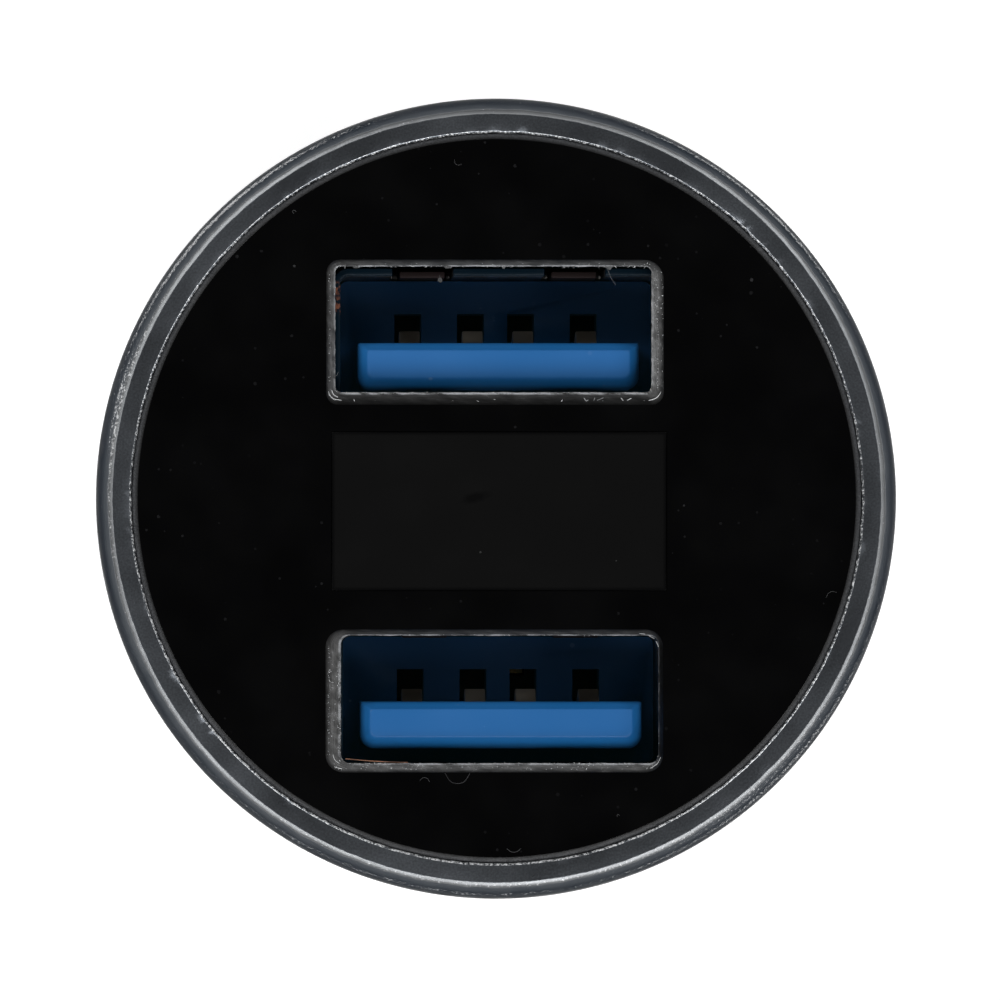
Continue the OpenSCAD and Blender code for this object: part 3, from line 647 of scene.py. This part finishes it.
def buildHeadShell(s):
    top = lipTop
    profile = [(s["hole"], 0.1, 0, 0), (s["hole"] + 0.1, 0, 0, 0)]
    profile += [(r, z, 0, 0.1) for r, z in bezier((s["shoulder"] - 0.45, 0), (s["shoulder"] - 0.02, 0),
                                                  (s["shoulder"], 0.4), 5)]
    flare = bezier((s["shoulder"], 0.4), (s["widest"], 7), (s["widest"], s["flareTop"]), 26)
    profile += [(r, z, 0, 0) for r, z in flare[1:]]
    profile += [(s["widest"], z, 0, 0) for z in (14.0, 17.0, 19.5)]
    flank = bezier((s["widest"], s["flankLow"]), (s["widest"] - 0.06, top - 0.95),
                   (s["bevelOuter"], top - s["bevelDrop"]), 14)
    profile += [(r, z, 0, 0.44) for r, z in flank[:-1]]
    profile += [(s["bevelOuter"] + 0.02, top - s["bevelDrop"] - 0.035, 0, 0.44)]
    bevelPoints = bezier((s["bevelOuter"], top - s["bevelDrop"]), (s["bevelOuter"] - 0.07, top - 0.025),
                         (s["lipOuter"] - 0.02, top), 5)
    profile += [(r, z, 1.0, 0.5) for r, z in bevelPoints[:-1]]
    profile += [(s["lipOuter"] - 0.01, top, 0.8, 0.45), (s["lipOuter"] - 0.07, top, 0, 0), (14.8, top, 0, 0),
                (s["lipInner"] + 0.02, top, 0, 0.35)]
    profile += [(r, z, 0, 0.61) for r, z in bezier((s["lipInner"], top), (s["rounded"] + 0.035, top - 0.012),
                                                   (s["rounded"], top - 0.06), 5)]
    profile += [(s["rounded"], top - 0.09, 0, 0), (s["wall"], top - 0.5, 0, 0), (s["wall"], 19.1, 0, 0), (s["wall"] + 0.43, 18.8, 0, 0),
                (s["wall"] + 0.43, 17.4, 0, 0), (s["wall"], 17.4, 0, 0), (s["wall"], s["flareTop"] + 0.4, 0, 0)]
    inner = bezier((s["wall"], s["flareTop"] + 0.4), (s["wall"], 7.2), (s["shoulder"] - 1.15, s["floor"]), 16)
    profile += [(r, z, 0, 0) for r, z in inner[1:]]
    profile += [(s["hole"], s["floor"], 0, 0)]

    # The edges wander a little, and the flank is scuffed in a few directions
    def ragged(radius, height, worn, chipped, angle):
        if worn + chipped < 0.4 or height < top - 1.6:
            return radius, height, worn, chipped
        place = Vector((math.cos(angle), math.sin(angle), 0))
        coarse = noise.noise(place * 26 + Vector((0, 0, radius)))
        fine = noise.noise(place * 140 + Vector((3, 0, radius * 2)))
        shift = 0.018 * coarse + 0.014 * fine
        for middle, spread, amount, at, width in s["scuffs"]:
            off = (math.degrees(angle) - middle + 180) % 360 - 180
            chipped += amount * math.exp(-(off / spread) ** 2 - ((radius - at) / width) ** 2)
        return radius + shift, height - abs(shift) * 0.6, worn, chipped

    item = turned("head_shell_look", profile, s["segments"], ragged)
    # Painted shade on the upper flank, outside the bevel and above flankLow, which the anodised material mixes into its
    # base colour
    flankPaintedShades = []
    for vertex in item.data.vertices:
        radius = math.hypot(vertex.co.x, vertex.co.y) / mm
        height = vertex.co.z / mm
        outside = min(1, max(0, (radius - s["bevelOuter"]) / 0.03))
        flankPaintedShades.append(outside * min(1, max(0, (height - s["flankLow"]) / 1.0)))
    paint(item, "flankPaintedShade", flankPaintedShades)
    return finishPiece(item, anodisedMetal, "charger", "shell_metal", "head_shell")


buildHeadShell(headShell)
print("head shell built")

# The face plate with its port holes
facePlate = {
    "top": lipTop - 0.15, "thickness": 1.2, "radius": 14.37, "chamfer": 0.225, "chamferDrop": 0.06, "segments": 384,
    "bevelDepth": 0.42, "windowAt": (0.09, -0.51), "windowSize": (13.24, 6.3), "step": 0.4, "stepHeight": 0.4,
}
# Each side of a hole's cut wall has its own tone across the bevel: painted light and shade, a brightness set side by
# side
portHoles = {
    "upper": {"outerAt": (-0.07, 6.54), "outerSize": (13.3, 5.72), "outerCorners": (0.78, 0.55, 0.46, 0.5),
              "innerAt": (-0.13, 6.655), "innerSize": (12.46, 4.96), "innerCorners": (0.24, 0.18, 0.24, 0.24),
              "tone": {"right": (0.004, 0.11, 0.15), "top": (0.004, 0.055, 0.085),
                       "left": (0.004, 0.09, 0.085), "bottom": (0.003, 0.02, 0.062)},
              "burr": {"right": 0.35, "top": 1.0, "left": 0.35, "bottom": 0.9}},
    "lower": {"outerAt": (-0.097, -7.984), "outerSize": (13.3, 5.64), "outerCorners": (0.7, 0.7, 0.7, 0.7),
              "innerAt": (0.118, -7.924), "innerSize": (12.51, 5.03), "innerCorners": (0.36, 0.36, 0.36, 0.36),
              "tone": {"right": (0.002, 0.006, 0.02), "top": (0.004, 0.035, 0.05),
                       "left": (0.006, 0.085, 0.06), "bottom": (0.004, 0.12, 0.14)},
              "burr": {"right": 0.3, "top": 0.7, "left": 0.6, "bottom": 1.0}},
}


# Closed outline of a rectangle with rounded corners, anticlockwise from the right side, with the side each
# point is on. The corners are top right, top left, bottom left and bottom right.
def outline(centre, size, corners, sideSteps=60, cornerSteps=8):
    points = []
    sides = ("right", "top", "left", "bottom")
    signs = ((1, 1), (-1, 1), (-1, -1), (1, -1))
    middles = [(centre[0] + signs[k][0] * (size[0] / 2 - corners[k]),
                centre[1] + signs[k][1] * (size[1] / 2 - corners[k])) for k in range(4)]
    for k in range(4):
        a = math.radians(90 * k)
        first = (middles[k - 1][0] + corners[k - 1] * math.cos(a), middles[k - 1][1] + corners[k - 1] * math.sin(a))
        last = (middles[k][0] + corners[k] * math.cos(a), middles[k][1] + corners[k] * math.sin(a))
        for i in range(sideSteps):
            t = i / sideSteps
            points.append((first[0] + (last[0] - first[0]) * t, first[1] + (last[1] - first[1]) * t,
                           sides[k], sides[k], 0))
        for i in range(cornerSteps):
            b = a + math.radians(90) * i / cornerSteps
            points.append((middles[k][0] + corners[k] * math.cos(b), middles[k][1] + corners[k] * math.sin(b),
                           sides[k], sides[(k + 1) % 4], i / cornerSteps))
    return points


def insideLoop(x, y, loop):
    inside = False
    for i in range(len(loop)):
        x1, y1 = loop[i - 1][:2]
        x2, y2 = loop[i][:2]
        if (y1 > y) != (y2 > y) and x < (x2 - x1) * (y - y1) / (y2 - y1) + x1:
            inside = not inside
    return inside


# Flat region inside the first loop and outside the others, as triangles over the loops' own points
def fillRegion(loops):
    flat = [Vector((p[0], p[1])) for loop in loops for p in loop]
    edges = []
    start = 0
    for loop in loops:
        count = len(loop)
        edges += [(start + i, start + (i + 1) % count) for i in range(count)]
        start += count
    points, _, faces, origins, _, _ = delaunay_2d_cdt(flat, edges, [], 1, 1e-6)
    source = [o[0] for o in origins]
    kept = []
    for face in faces:
        x = sum(points[i].x for i in face) / len(face)
        y = sum(points[i].y for i in face) / len(face)
        if insideLoop(x, y, loops[0]) and not any(insideLoop(x, y, loop) for loop in loops[1:]):
            kept.append(tuple(source[i] for i in face))
    return kept


def toneAt(stops, across):
    if across < 0.5:
        return stops[0] + (stops[1] - stops[0]) * across * 2
    return stops[1] + (stops[2] - stops[1]) * (across * 2 - 1)


def buildFacePlate(s, holes):
    points = []
    faces = []
    tones = []
    burrs = []
    cuts = {}
    cutFaces = set()

    def addLoop(loop, height, tone=0.0, burr=0.0):
        first = len(points)
        for p in loop:
            points.append((p[0], p[1], height))
            tones.append(tone)
            burrs.append(burr)
        return list(range(first, first + len(loop)))

    def bridge(a, b):
        count = len(a)
        for k in range(count):
            n = (k + 1) % count
            faces.append((a[k], a[n], b[n], b[k]))

    top = s["top"]
    low = top - s["thickness"]
    circle = [(math.cos(2 * math.pi * k / s["segments"]), math.sin(2 * math.pi * k / s["segments"]))
              for k in range(s["segments"])]
    rims = [(s["radius"] - s["chamfer"] - 0.012, top, 0.0), (s["radius"] - s["chamfer"] + 0.006, top - 0.012, 0.05),
            (s["radius"] - 0.02, top - s["chamferDrop"], 1.0), (s["radius"], top - s["chamferDrop"] - 0.02, 1.0),
            (s["radius"], low, 0.0)]
    rimRows = [addLoop([(r * x, r * y) for x, y in circle], z, tone) for r, z, tone in rims]
    for a, b in zip(rimRows, rimRows[1:]):
        bridge(a, b)
    frosted = set(range(s["segments"], 3 * s["segments"]))

    topLoops = [rimRows[0]]
    lowLoops = [rimRows[-1]]
    for hole in holes.values():
        outer = outline(hole["outerAt"], hole["outerSize"], hole["outerCorners"])
        inner = outline(hole["innerAt"], hole["innerSize"], hole["innerCorners"])
        rows = []
        steps = [(0.0, 0.0), (0.04, 0.05), (0.16, 0.16), (0.3, 0.31), (0.46, 0.45), (0.62, 0.62), (0.78, 0.77),
                 (0.9, 0.9), (1.0, 1.0)]
        for across, deep in steps:
            row = []
            for index, (p, q) in enumerate(zip(outer, inner)):
                # Tone of painted light and shade, blended round the corners
                tone = toneAt(hole["tone"][p[2]], across) * (1 - p[4]) + toneAt(hole["tone"][p[3]], across) * p[4]
                burr = hole["burr"][p[2]] * (1 - p[4]) + hole["burr"][p[3]] * p[4]
                x = p[0] + (q[0] - p[0]) * across
                y = p[1] + (q[1] - p[1]) * across
                rough = noise.noise(Vector((x * 6, y * 6, across * 5 + hole["outerAt"][1])))
                rough += 0.6 * noise.noise(Vector((x * 19, y * 19, across * 9)))
                scale = 0.0 if across == 0 else (0.014 if across < 1 else 0.02)
                row.append(len(points))
                cuts[len(points)] = (index, across)
                points.append((x + rough * scale, y + rough * scale * 0.8, top - s["bevelDepth"] * deep))
                tones.append(tone)
                burrs.append(burr * max(0.0, 1 - abs(across - 0.93) / 0.12))
            rows.append(row)
        straight = [points[i] for i in rows[-1]]
        rows.append(addLoop(straight, top - s["bevelDepth"] - 0.06, 0.3))
        rows.append(addLoop(straight, low, 0.2))
        for depth, (a, b) in enumerate(zip(rows, rows[1:])):
            first = len(faces)
            bridge(a, b)
            if depth < len(steps) - 1:
                cutFaces.update(range(first, len(faces)))
        topLoops.append(rows[0])
        lowLoops.append(rows[-1])

    window = outline(s["windowAt"], s["windowSize"], [0.05] * 4, 8, 2)
    wide = outline(s["windowAt"], (s["windowSize"][0] + 2 * s["step"], s["windowSize"][1] + 2 * s["step"]),
                   [0.05] * 4, 8, 2)
    rows = [addLoop(window, top), addLoop(window, low + s["stepHeight"]), addLoop(wide, low + s["stepHeight"]),
            addLoop(wide, low)]
    for a, b in zip(rows, rows[1:]):
        bridge(a, b)
    topLoops.append(rows[0])
    lowLoops.append(rows[-1])

    for loops in (topLoops, lowLoops):
        order = [i for loop in loops for i in loop]
        for face in fillRegion([[points[i] for i in loop] for loop in loops]):
            faces.append(tuple(order[i] for i in face))

    item = meshObject("face_plate_look", points, faces, 30)
    paint(item, "tone", tones)
    paint(item, "burr", burrs)
    item.data.materials.append(glossBlack)
    item.data.materials.append(cutEdge)
    item.data.materials.append(frostedEdge)
    uv = item.data.uv_layers.new(name="cut")
    for polygon in item.data.polygons:
        if polygon.index in cutFaces:
            polygon.material_index = 1
        elif polygon.index in frosted:
            polygon.material_index = 2
        for corner in polygon.loop_indices:
            index, across = cuts.get(item.data.loops[corner].vertex_index, (0, 0))
            place = points[item.data.loops[corner].vertex_index]
            uv.data[corner].uv = (place[0] + place[1] * 1.7, across)
    return finishPiece(item, glossBlack, "charger", "gloss_black", "face_plate")


buildFacePlate(facePlate, portHoles)
print("face plate built")

# The smoked window between the ports
displayWindow = {"seam": 0.025, "edge": 0.02, "fadeWidth": 0.16, "flange": 0.37}


def buildDisplayWindow(s, plate):
    width = plate["windowSize"][0] - 2 * s["seam"]
    height = plate["windowSize"][1] - 2 * s["seam"]
    top = plate["top"]
    low = top - plate["thickness"]
    wideX = plate["windowSize"][0] + 2 * plate["step"] - 0.1
    wideY = plate["windowSize"][1] + 2 * plate["step"] - 0.1
    rows = [(width - 2 * s["fadeWidth"], height - 2 * s["fadeWidth"], top, 1.0),
            (width - 2 * s["edge"], height - 2 * s["edge"], top, 0.0),
            (width, height, top - s["edge"], 0.0), (width, height, low + s["flange"], 0.0),
            (wideX, wideY, low + s["flange"], 0.0), (wideX, wideY, low, 0.0)]
    points = []
    fades = []
    faces = []
    loops = []
    for w, h, z, fade in rows:
        loop = outline(plate["windowAt"], (w, h), [0.04] * 4, 6, 3)
        loops.append(list(range(len(points), len(points) + len(loop))))
        points += [(p[0], p[1], z) for p in loop]
        fades += [fade] * len(loop)
    for a, b in zip(loops, loops[1:]):
        for k in range(len(a)):
            n = (k + 1) % len(a)
            faces.append((a[k], a[n], b[n], b[k]))
    faces.append(tuple(loops[0]))
    faces.append(tuple(reversed(loops[-1])))
    item = meshObject("display_window_look", points, faces, 30)
    paint(item, "fade", fades)
    return finishPiece(item, smokedWindow, "charger", "window_black", "display_window")


buildDisplayWindow(displayWindow, facePlate)
print("display window built")

# Ports: steel shells, blue inserts and contact blades. The tongue is lofted on the block that the CAD insert has
portParts = {
    "front": 21.45, "depth": 8.88, "back": 0.5, "width": 11.1, "high": -0.07, "low": -1.91,
    "insetTop": 0.3, "insetLow": 0.45, "insetEnd": 0.38, "lowCorner": 0.45, "shellEdge": 0.04, "bladeEdge": 0.04,
    # Tones of painted light and shade on the tongue: dark on the back wall, lighter on the bevels, lightest on the
    # lower bevel that the hole edge shades
    "tones": {"wall": 0.1, "top": 0.6, "end": 0.6, "low": 0.92, "front": 0.25},
    "centres": {"upper": (0.1, 6.22), "lower": (0.2, -7.95)},
}


# Rings of the tongue: distance behind its front and the share of the bevel's inset, rounded at both ends.
# Each point has its place and its tone of painted light and shade.
def tongueLoops(s, centre):
    tones = s["tones"]
    sides = [("end", "top"), ("top", "end"), ("end", "low"), ("low", "end")]
    steps = [(9.6, 0), (6, 0), (3, 0), (1.2, 0), (0.82, 0), (0.66, 0.015), (0.52, 0.09), (0.38, 0.25), (0.24, 0.47),
             (0.13, 0.68), (0.06, 0.83), (0.02, 0.94), (0.003, 1.02), (0, 1.12), (0, 1.6)]
    loops = []
    for behind, share in steps:
        half = s["width"] / 2 - s["insetEnd"] * share
        high = s["high"] - s["insetTop"] * share
        low = s["low"] + s["insetLow"] * share
        cut = max(0.12, s["lowCorner"] * (1 - 0.45 * share))
        top = 0.05 + 0.05 * share
        corners = [(half, high, top), (-half, high, top), (-half, low, cut), (half, low, cut)]
        loop = []
        for k, (x, y, r) in enumerate(corners):
            sx = 1 if x > 0 else -1
            sy = 1 if k < 2 else -1
            bow = 0.18 if k > 1 else 0.29
            a = (x, y - sy * r) if k in (0, 2) else (x - sx * r, y)
            b = (x - sx * r, y) if k in (0, 2) else (x, y - sy * r)
            mid = (x - sx * r * bow, y - sy * r * bow)
            for t in (0, 0.25, 0.5, 0.75, 1):
                px = (1 - t) ** 2 * a[0] + 2 * t * (1 - t) * mid[0] + t * t * b[0]
                py = (1 - t) ** 2 * a[1] + 2 * t * (1 - t) * mid[1] + t * t * b[1]
                tone = tones[sides[k][0]] * (1 - t) + tones[sides[k][1]] * t
                tone = tones["front"] + (tone - tones["front"]) * min(1, max(0, (1.0 - share) / 0.55))
                loop.append(((px + centre[0], py + centre[1], s["front"] - s["back"] - behind), tone))
        loops.append(loop)
    return loops


def buildInsert(s, side):
    source = nodes[f"usb_insert_{side}"]
    work = bmesh.new()
    work.from_mesh(source.data)
    layer = work.verts.layers.float.new("tone")
    bmesh.ops.remove_doubles(work, verts=work.verts, dist=1e-7)
    bmesh.ops.dissolve_limit(work, angle_limit=math.radians(1), verts=work.verts, edges=work.edges)
    wall = Vector((0, 0, (s["front"] - s["depth"] + 0.002) * mm))
    whole = work.verts[:] + work.edges[:] + work.faces[:]
    cut = bmesh.ops.bisect_plane(work, geom=whole, plane_co=wall, plane_no=Vector((0, 0, 1)), clear_outer=True)
    bmesh.ops.edgeloop_fill(work, edges=[e for e in cut["geom_cut"] if isinstance(e, bmesh.types.BMEdge)])
    for vertex in work.verts:
        # The back wall gets the wall tone of painted shade
        vertex[layer] = s["tones"]["wall"]
    rows = []
    for loop in tongueLoops(s, s["centres"][side]):
        rows.append([])
        for place, tone in loop:
            vertex = work.verts.new(Vector(place) * mm)
            vertex[layer] = tone
            rows[-1].append(vertex)
    for a, b in zip(rows, rows[1:]):
        for k in range(len(a)):
            n = (k + 1) % len(a)
            work.faces.new((a[k], a[n], b[n], b[k]))
    work.faces.new(rows[-1])
    work.faces.new(list(reversed(rows[0])))
    bmesh.ops.recalc_face_normals(work, faces=work.faces)
    mesh = bpy.data.meshes.new(f"usb_insert_{side}_look")
    work.to_mesh(mesh)
    work.free()
    mesh.polygons.foreach_set("use_smooth", [True] * len(mesh.polygons))
    mesh.set_sharp_from_angle(angle=math.radians(50))
    item = bpy.data.objects.new(mesh.name, mesh)
    bpy.context.scene.collection.objects.link(item)
    finishPiece(item, bluePlastic, "charger", "blue_plastic", f"usb_insert_{side}")


def buildPorts(s):
    for side in ("upper", "lower"):
        buildInsert(s, side)
        shell = softened(f"usb_shell_{side}_look", f"usb_shell_{side}", s["shellEdge"])
        finishPiece(shell, shellSteel, "charger", "tinned_steel", f"usb_shell_{side}")
        blades = softened(f"usb_contacts_{side}_look", f"usb_contacts_{side}", s["bladeEdge"])
        finishPiece(blades, nickelBlade, "charger", "nickel", f"usb_contacts_{side}")


buildPorts(portParts)
print("ports built")

# Burrs that the cutter left along the port holes. Each row is a hole, a side, how many burrs to the millimetre,
# their longest, how far across the bevel they sit and how much that varies
burrs = {
    "rows": [("upper", "top", 9.0, 0.14, 0.93, 0.07), ("upper", "top", 2.5, 0.06, 0.6, 0.15),
             ("upper", "left", 4.0, 0.08, 0.92, 0.05), ("upper", "left", 7.0, 0.045, 0.35, 0.1),
             ("upper", "right", 14.0, 0.07, 0.46, 0.05), ("upper", "right", 12.0, 0.05, 0.65, 0.25),
             ("upper", "right", 5.0, 0.06, 0.12, 0.08), ("upper", "bottom", 3.0, 0.06, 0.97, 0.04),
             ("upper", "bottom", 1.0, 0.11, 0.38, 0.12),
             ("lower", "left", 11.0, 0.07, 0.2, 0.06), ("lower", "left", 8.0, 0.07, 0.85, 0.1),
             ("lower", "left", 4.0, 0.06, 0.5, 0.25), ("lower", "bottom", 12.0, 0.06, 0.55, 0.25),
             ("lower", "bottom", 8.0, 0.08, 0.97, 0.06), ("lower", "top", 3.5, 0.06, 0.9, 0.1),
             ("lower", "right", 1.5, 0.05, 0.8, 0.2)],
    "width": 0.02,
}


def buildBurrs(s, plate, holes):
    points = []
    faces = []
    for where, side, density, longest, across, scatter in s["rows"]:
        hole = holes[where]
        outer = [p for p in outline(hole["outerAt"], hole["outerSize"], hole["outerCorners"]) if p[2] == side]
        inner = [p for p in outline(hole["innerAt"], hole["innerSize"], hole["innerCorners"]) if p[2] == side]
        run = (Vector(outer[-1][:2]) - Vector(outer[0][:2])).length
        for _ in range(int(run * density)):
            index = random.randrange(len(outer))
            share = min(1.0, max(0.03, across + random.uniform(-scatter, scatter)))
            base = Vector(outer[index][:2]).lerp(Vector(inner[index][:2]), share)
            start = Vector((base.x, base.y, plate["top"] - plate["bevelDepth"] * share - 0.004))
            heading = random.uniform(0, 2 * math.pi)
            length = longest * random.uniform(0.25, 1) ** 1.6
            along = Vector((math.cos(heading), math.sin(heading), random.uniform(0.1, 0.5))) * length
            bend = Vector((-along.y, along.x, 0)) * random.uniform(-0.5, 0.5)
            first = len(points)
            radius = s["width"] * random.uniform(0.5, 1.2)
            for step in range(4):
                t = step / 4
                spot = start + along * t + bend * t * t
                for corner in range(3):
                    a = 2 * math.pi * corner / 3 + heading
                    points.append(spot + Vector((math.cos(a), math.sin(a), math.sin(a * 2))) * radius * (1 - t * 0.7))
            points.append(start + along + bend)
            for step in range(3):
                for corner in range(3):
                    n = (corner + 1) % 3
                    a = first + step * 3
                    faces.append((a + corner, a + n, a + 3 + n, a + 3 + corner))
            for corner in range(3):
                faces.append((first + 9 + corner, first + 9 + (corner + 1) % 3, first + 12))
            faces.append((first + 2, first + 1, first))
    item = meshObject("cut_burrs", points, faces)
    item.data.materials.append(makePlastic("burrWhite", (0.26, 0.27, 0.28), (0.6, 0.61, 0.62), 0.5, 9000, 0.002))
    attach(item, "charger")


buildBurrs(burrs, facePlate, portHoles)
print("burrs cut")

# Lint on the plate, torn threads and scuffs at the cut edges, and flakes of film. The heights are under the plate's
# face. Each curve has a thickness and its dark and light colours.
lint = {
    "lift": 0.01,
    "arcs": [(-1.5, 13.3, 0.18, 170, 140), (0.67, -13.6, 0.34, 215, 110), (13.25, -3.95, 0.28, 60, 110),
             (-1.55, -10.74, 0.5, 190, 160), (-2.85, -11.2, 0.2, 10, 150), (-7.98, 11.28, 0.07, 0, 260),
             (4.78, -12.5, 0.05, 0, 240)],
    "curves": {"plate_lint": (0.008, (0.012, 0.012, 0.013), (0.05, 0.05, 0.053)),
               "cut_threads": (0.007, (0.025, 0.026, 0.028), (0.13, 0.135, 0.14)),
               "edge_scuffs": (0.013, (0.15, 0.155, 0.16), (0.62, 0.63, 0.64)),
               "brown_line": (0.018, (0.04, 0.016, 0.008), (0.3, 0.14, 0.08))},
    "threads": [[(4.3, 9.15, 0.36), (4.4, 8.95, 0.38), (4.5, 8.7, 0.4), (4.69, 8.42, 0.44)],
                [(4.04, 9.2, 0.38), (4.28, 9.16, 0.38), (4.45, 9.0, 0.4)],
                [(-2.25, 8.8, 0.44), (-2.24, 8.66, 0.46)],
                [(-6.42, 4.78, 0.3), (-6.3, 4.85, 0.34), (-6.24, 4.98, 0.38)]],
    "scuffs": [[(-6.66, 4.38, 0.1), (-6.61, 4.12, 0.12), (-6.45, 3.93, 0.13), (-6.12, 3.86, 0.13)],
               [(-6.5, 4.25, 0.22), (-6.42, 4.08, 0.24), (-6.25, 3.98, 0.24)],
               [(5.98, 3.85, 0.12), (6.26, 3.94, 0.13), (6.44, 4.13, 0.12), (6.5, 4.36, 0.1)],
               [(3.44, 3.95, 0.22), (3.52, 3.84, 0.12), (3.6, 3.87, 0.15)], [(3.82, 3.84, 0.12), (3.86, 3.95, 0.22)],
               [(3.95, 3.86, 0.14), (4.06, 3.9, 0.18), (4.2, 3.96, 0.23)], [(4.9, 3.95, 0.22), (4.98, 3.85, 0.13)],
               [(5.14, 3.86, 0.14), (5.3, 3.94, 0.21)],
               [(-6.69, -9.95, 0.06), (-6.63, -10.3, 0.08), (-6.42, -10.56, 0.1), (-6.1, -10.66, 0.1)],
               [(-6.45, -10.1, 0.2), (-6.38, -10.3, 0.22), (-6.2, -10.45, 0.22)],
               [(6.05, -10.64, 0.1), (6.32, -10.45, 0.12), (6.46, -10.2, 0.1)],
               [(5.6, -5.32, 0.2), (5.85, -5.35, 0.22)], [(6.0, -5.41, 0.22), (6.2, -5.53, 0.22)],
               [(6.28, -5.63, 0.22), (6.38, -5.86, 0.2)]],
    "brown": [[(-5.95, -10.26, 0.5), (-5.2, -10.33, 0.5), (-4.4, -10.38, 0.5), (-3.5, -10.41, 0.5)]],
    "flakes": [[(4.0, 9.22, 0.4), (4.28, 9.1, 0.42), (4.47, 9.0, 0.45), (4.6, 9.14, 0.4), (4.75, 9.22, 0.38)],
               [(-2.3, 8.68, 0.46), (-2.18, 8.7, 0.46), (-2.14, 8.56, 0.5), (-2.22, 8.49, 0.5), (-2.33, 8.57, 0.5)],
               [(2.9, 9.26, 0.38), (3.12, 9.25, 0.38), (3.04, 9.04, 0.42)],
               [(1.82, 9.24, 0.38), (2.05, 9.23, 0.38), (1.9, 9.1, 0.42)],
               [(-5.75, 9.2, 0.4), (-5.3, 9.18, 0.4), (-5.4, 9.08, 0.43), (-5.62, 9.07, 0.43)],
               [(-2.2, 9.2, 0.4), (-1.7, 9.18, 0.4), (-1.8, 9.07, 0.43), (-2.0, 9.06, 0.43)],
               [(0.05, 9.2, 0.4), (0.4, 9.2, 0.4), (0.3, 9.04, 0.43)]],
}


def buildLint(s, plate):
    lines = {"plate_lint": [], "cut_threads": s["threads"], "edge_scuffs": s["scuffs"],
             "brown_line": s["brown"]}
    for x, y, radius, start, sweep in s["arcs"]:
        turns = [math.radians(start + sweep * i / 3) for i in range(4)]
        lines["plate_lint"].append([(x + radius * math.cos(a), y + radius * math.sin(a), -s["lift"]) for a in turns])
    for name, (thickness, dark, light) in s["curves"].items():
        curve = bpy.data.curves.new(name, "CURVE")
        curve.dimensions = "3D"
        curve.bevel_depth = thickness * mm
        curve.bevel_resolution = 2
        for line in lines[name]:
            places = smoothLine([(x, y, plate["top"] - z) for x, y, z in line], 6)
            spline = curve.splines.new("POLY")
            spline.points.add(len(places) - 1)
            for point, place in zip(spline.points, places):
                point.co = (*(place * mm), 1)
        item = bpy.data.objects.new(name, curve)
        bpy.context.scene.collection.objects.link(item)
        item.data.materials.append(makePlastic(name, dark, light, 0.6, 9000, 0.002))
        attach(item, "charger")
    points = []
    faces = []
    for flake in s["flakes"]:
        faces.append(tuple(range(len(points), len(points) + len(flake))))
        points += [(x, y, plate["top"] - z) for x, y, z in flake]
    item = meshObject("cut_flakes", points, faces)
    item.data.materials.append(makePlastic("flakeGrey", (0.008, 0.009, 0.01), (0.08, 0.082, 0.085), 0.6, 14000, 0.004))
    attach(item, "charger")


buildLint(lint, facePlate)
print("lint laid")

# The plug: barrel, nose cap, pin and side contacts
plug = {"barrelEdge": 0.12, "capEdge": 0.1, "stripEdge": 0.06, "pinEdge": 0.08, "segments": 2, "angle": 35,
        "pinTravel": 3.0}


def buildPlug(s):
    barrel = softened("plug_barrel_look", "plug_barrel", s["barrelEdge"], s["segments"], s["angle"])
    finishPiece(barrel, mouldedBlack, "charger", "matt_black", "plug_barrel")
    cap = softened("nose_cap_look", "nose_cap", s["capEdge"], s["segments"], s["angle"])
    finishPiece(cap, mouldedBlack, "charger", "matt_black", "nose_cap")
    for side in ("left", "right"):
        strip = softened(f"side_contact_{side}_look", f"side_contact_{side}", s["stripEdge"], s["segments"], s["angle"])
        finishPiece(strip, springSteel, f"side_contact_{side}", "tinned_steel", f"side_contact_{side}")
    pin = softened("centre_pin_look", "centre_pin", s["pinEdge"], s["segments"], s["angle"])
    finishPiece(pin, pinNickel, "centre_pin", "nickel", "centre_pin")
    spring = bpy.data.objects.new("pin_spring_look", nodes["pin_spring"].data.copy())
    spring.data.materials.clear()
    bpy.context.scene.collection.objects.link(spring)
    finishPiece(spring, springSteel, "charger", "tinned_steel", "pin_spring")
    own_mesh(spring)


buildPlug(plug)
print("plug built")

# Finishes of the pieces that keep their CAD shape
finishes = {
    "face_adhesive": softSheet, "face_carrier": insideBlack, "display_module": chipBlack,
    "display_pins": springSteel, "port_board": boardGreen, "port_chip": chipBlack, "power_board": boardGreen,
    "board_pins": brassPlate, "inductor_core": darkFerrite, "inductor_winding": copperWire,
    "input_capacitor": canMetal, "output_capacitor": canMetal, "converter_chip": chipBlack,
    "rectifier_diode": chipBlack, "chip_capacitors": tanCeramic, "chip_resistors": chipBlack,
    "board_fuse": tanCeramic, "spring_seat": brassPlate, "positive_wire": redSleeve,
    "ground_wires": chipBlack,
}
for node, material in finishes.items():
    for index in range(len(nodes[node].material_slots)):
        nodes[node].material_slots[index].material = material

bpy.context.view_layer.update()
print("done")
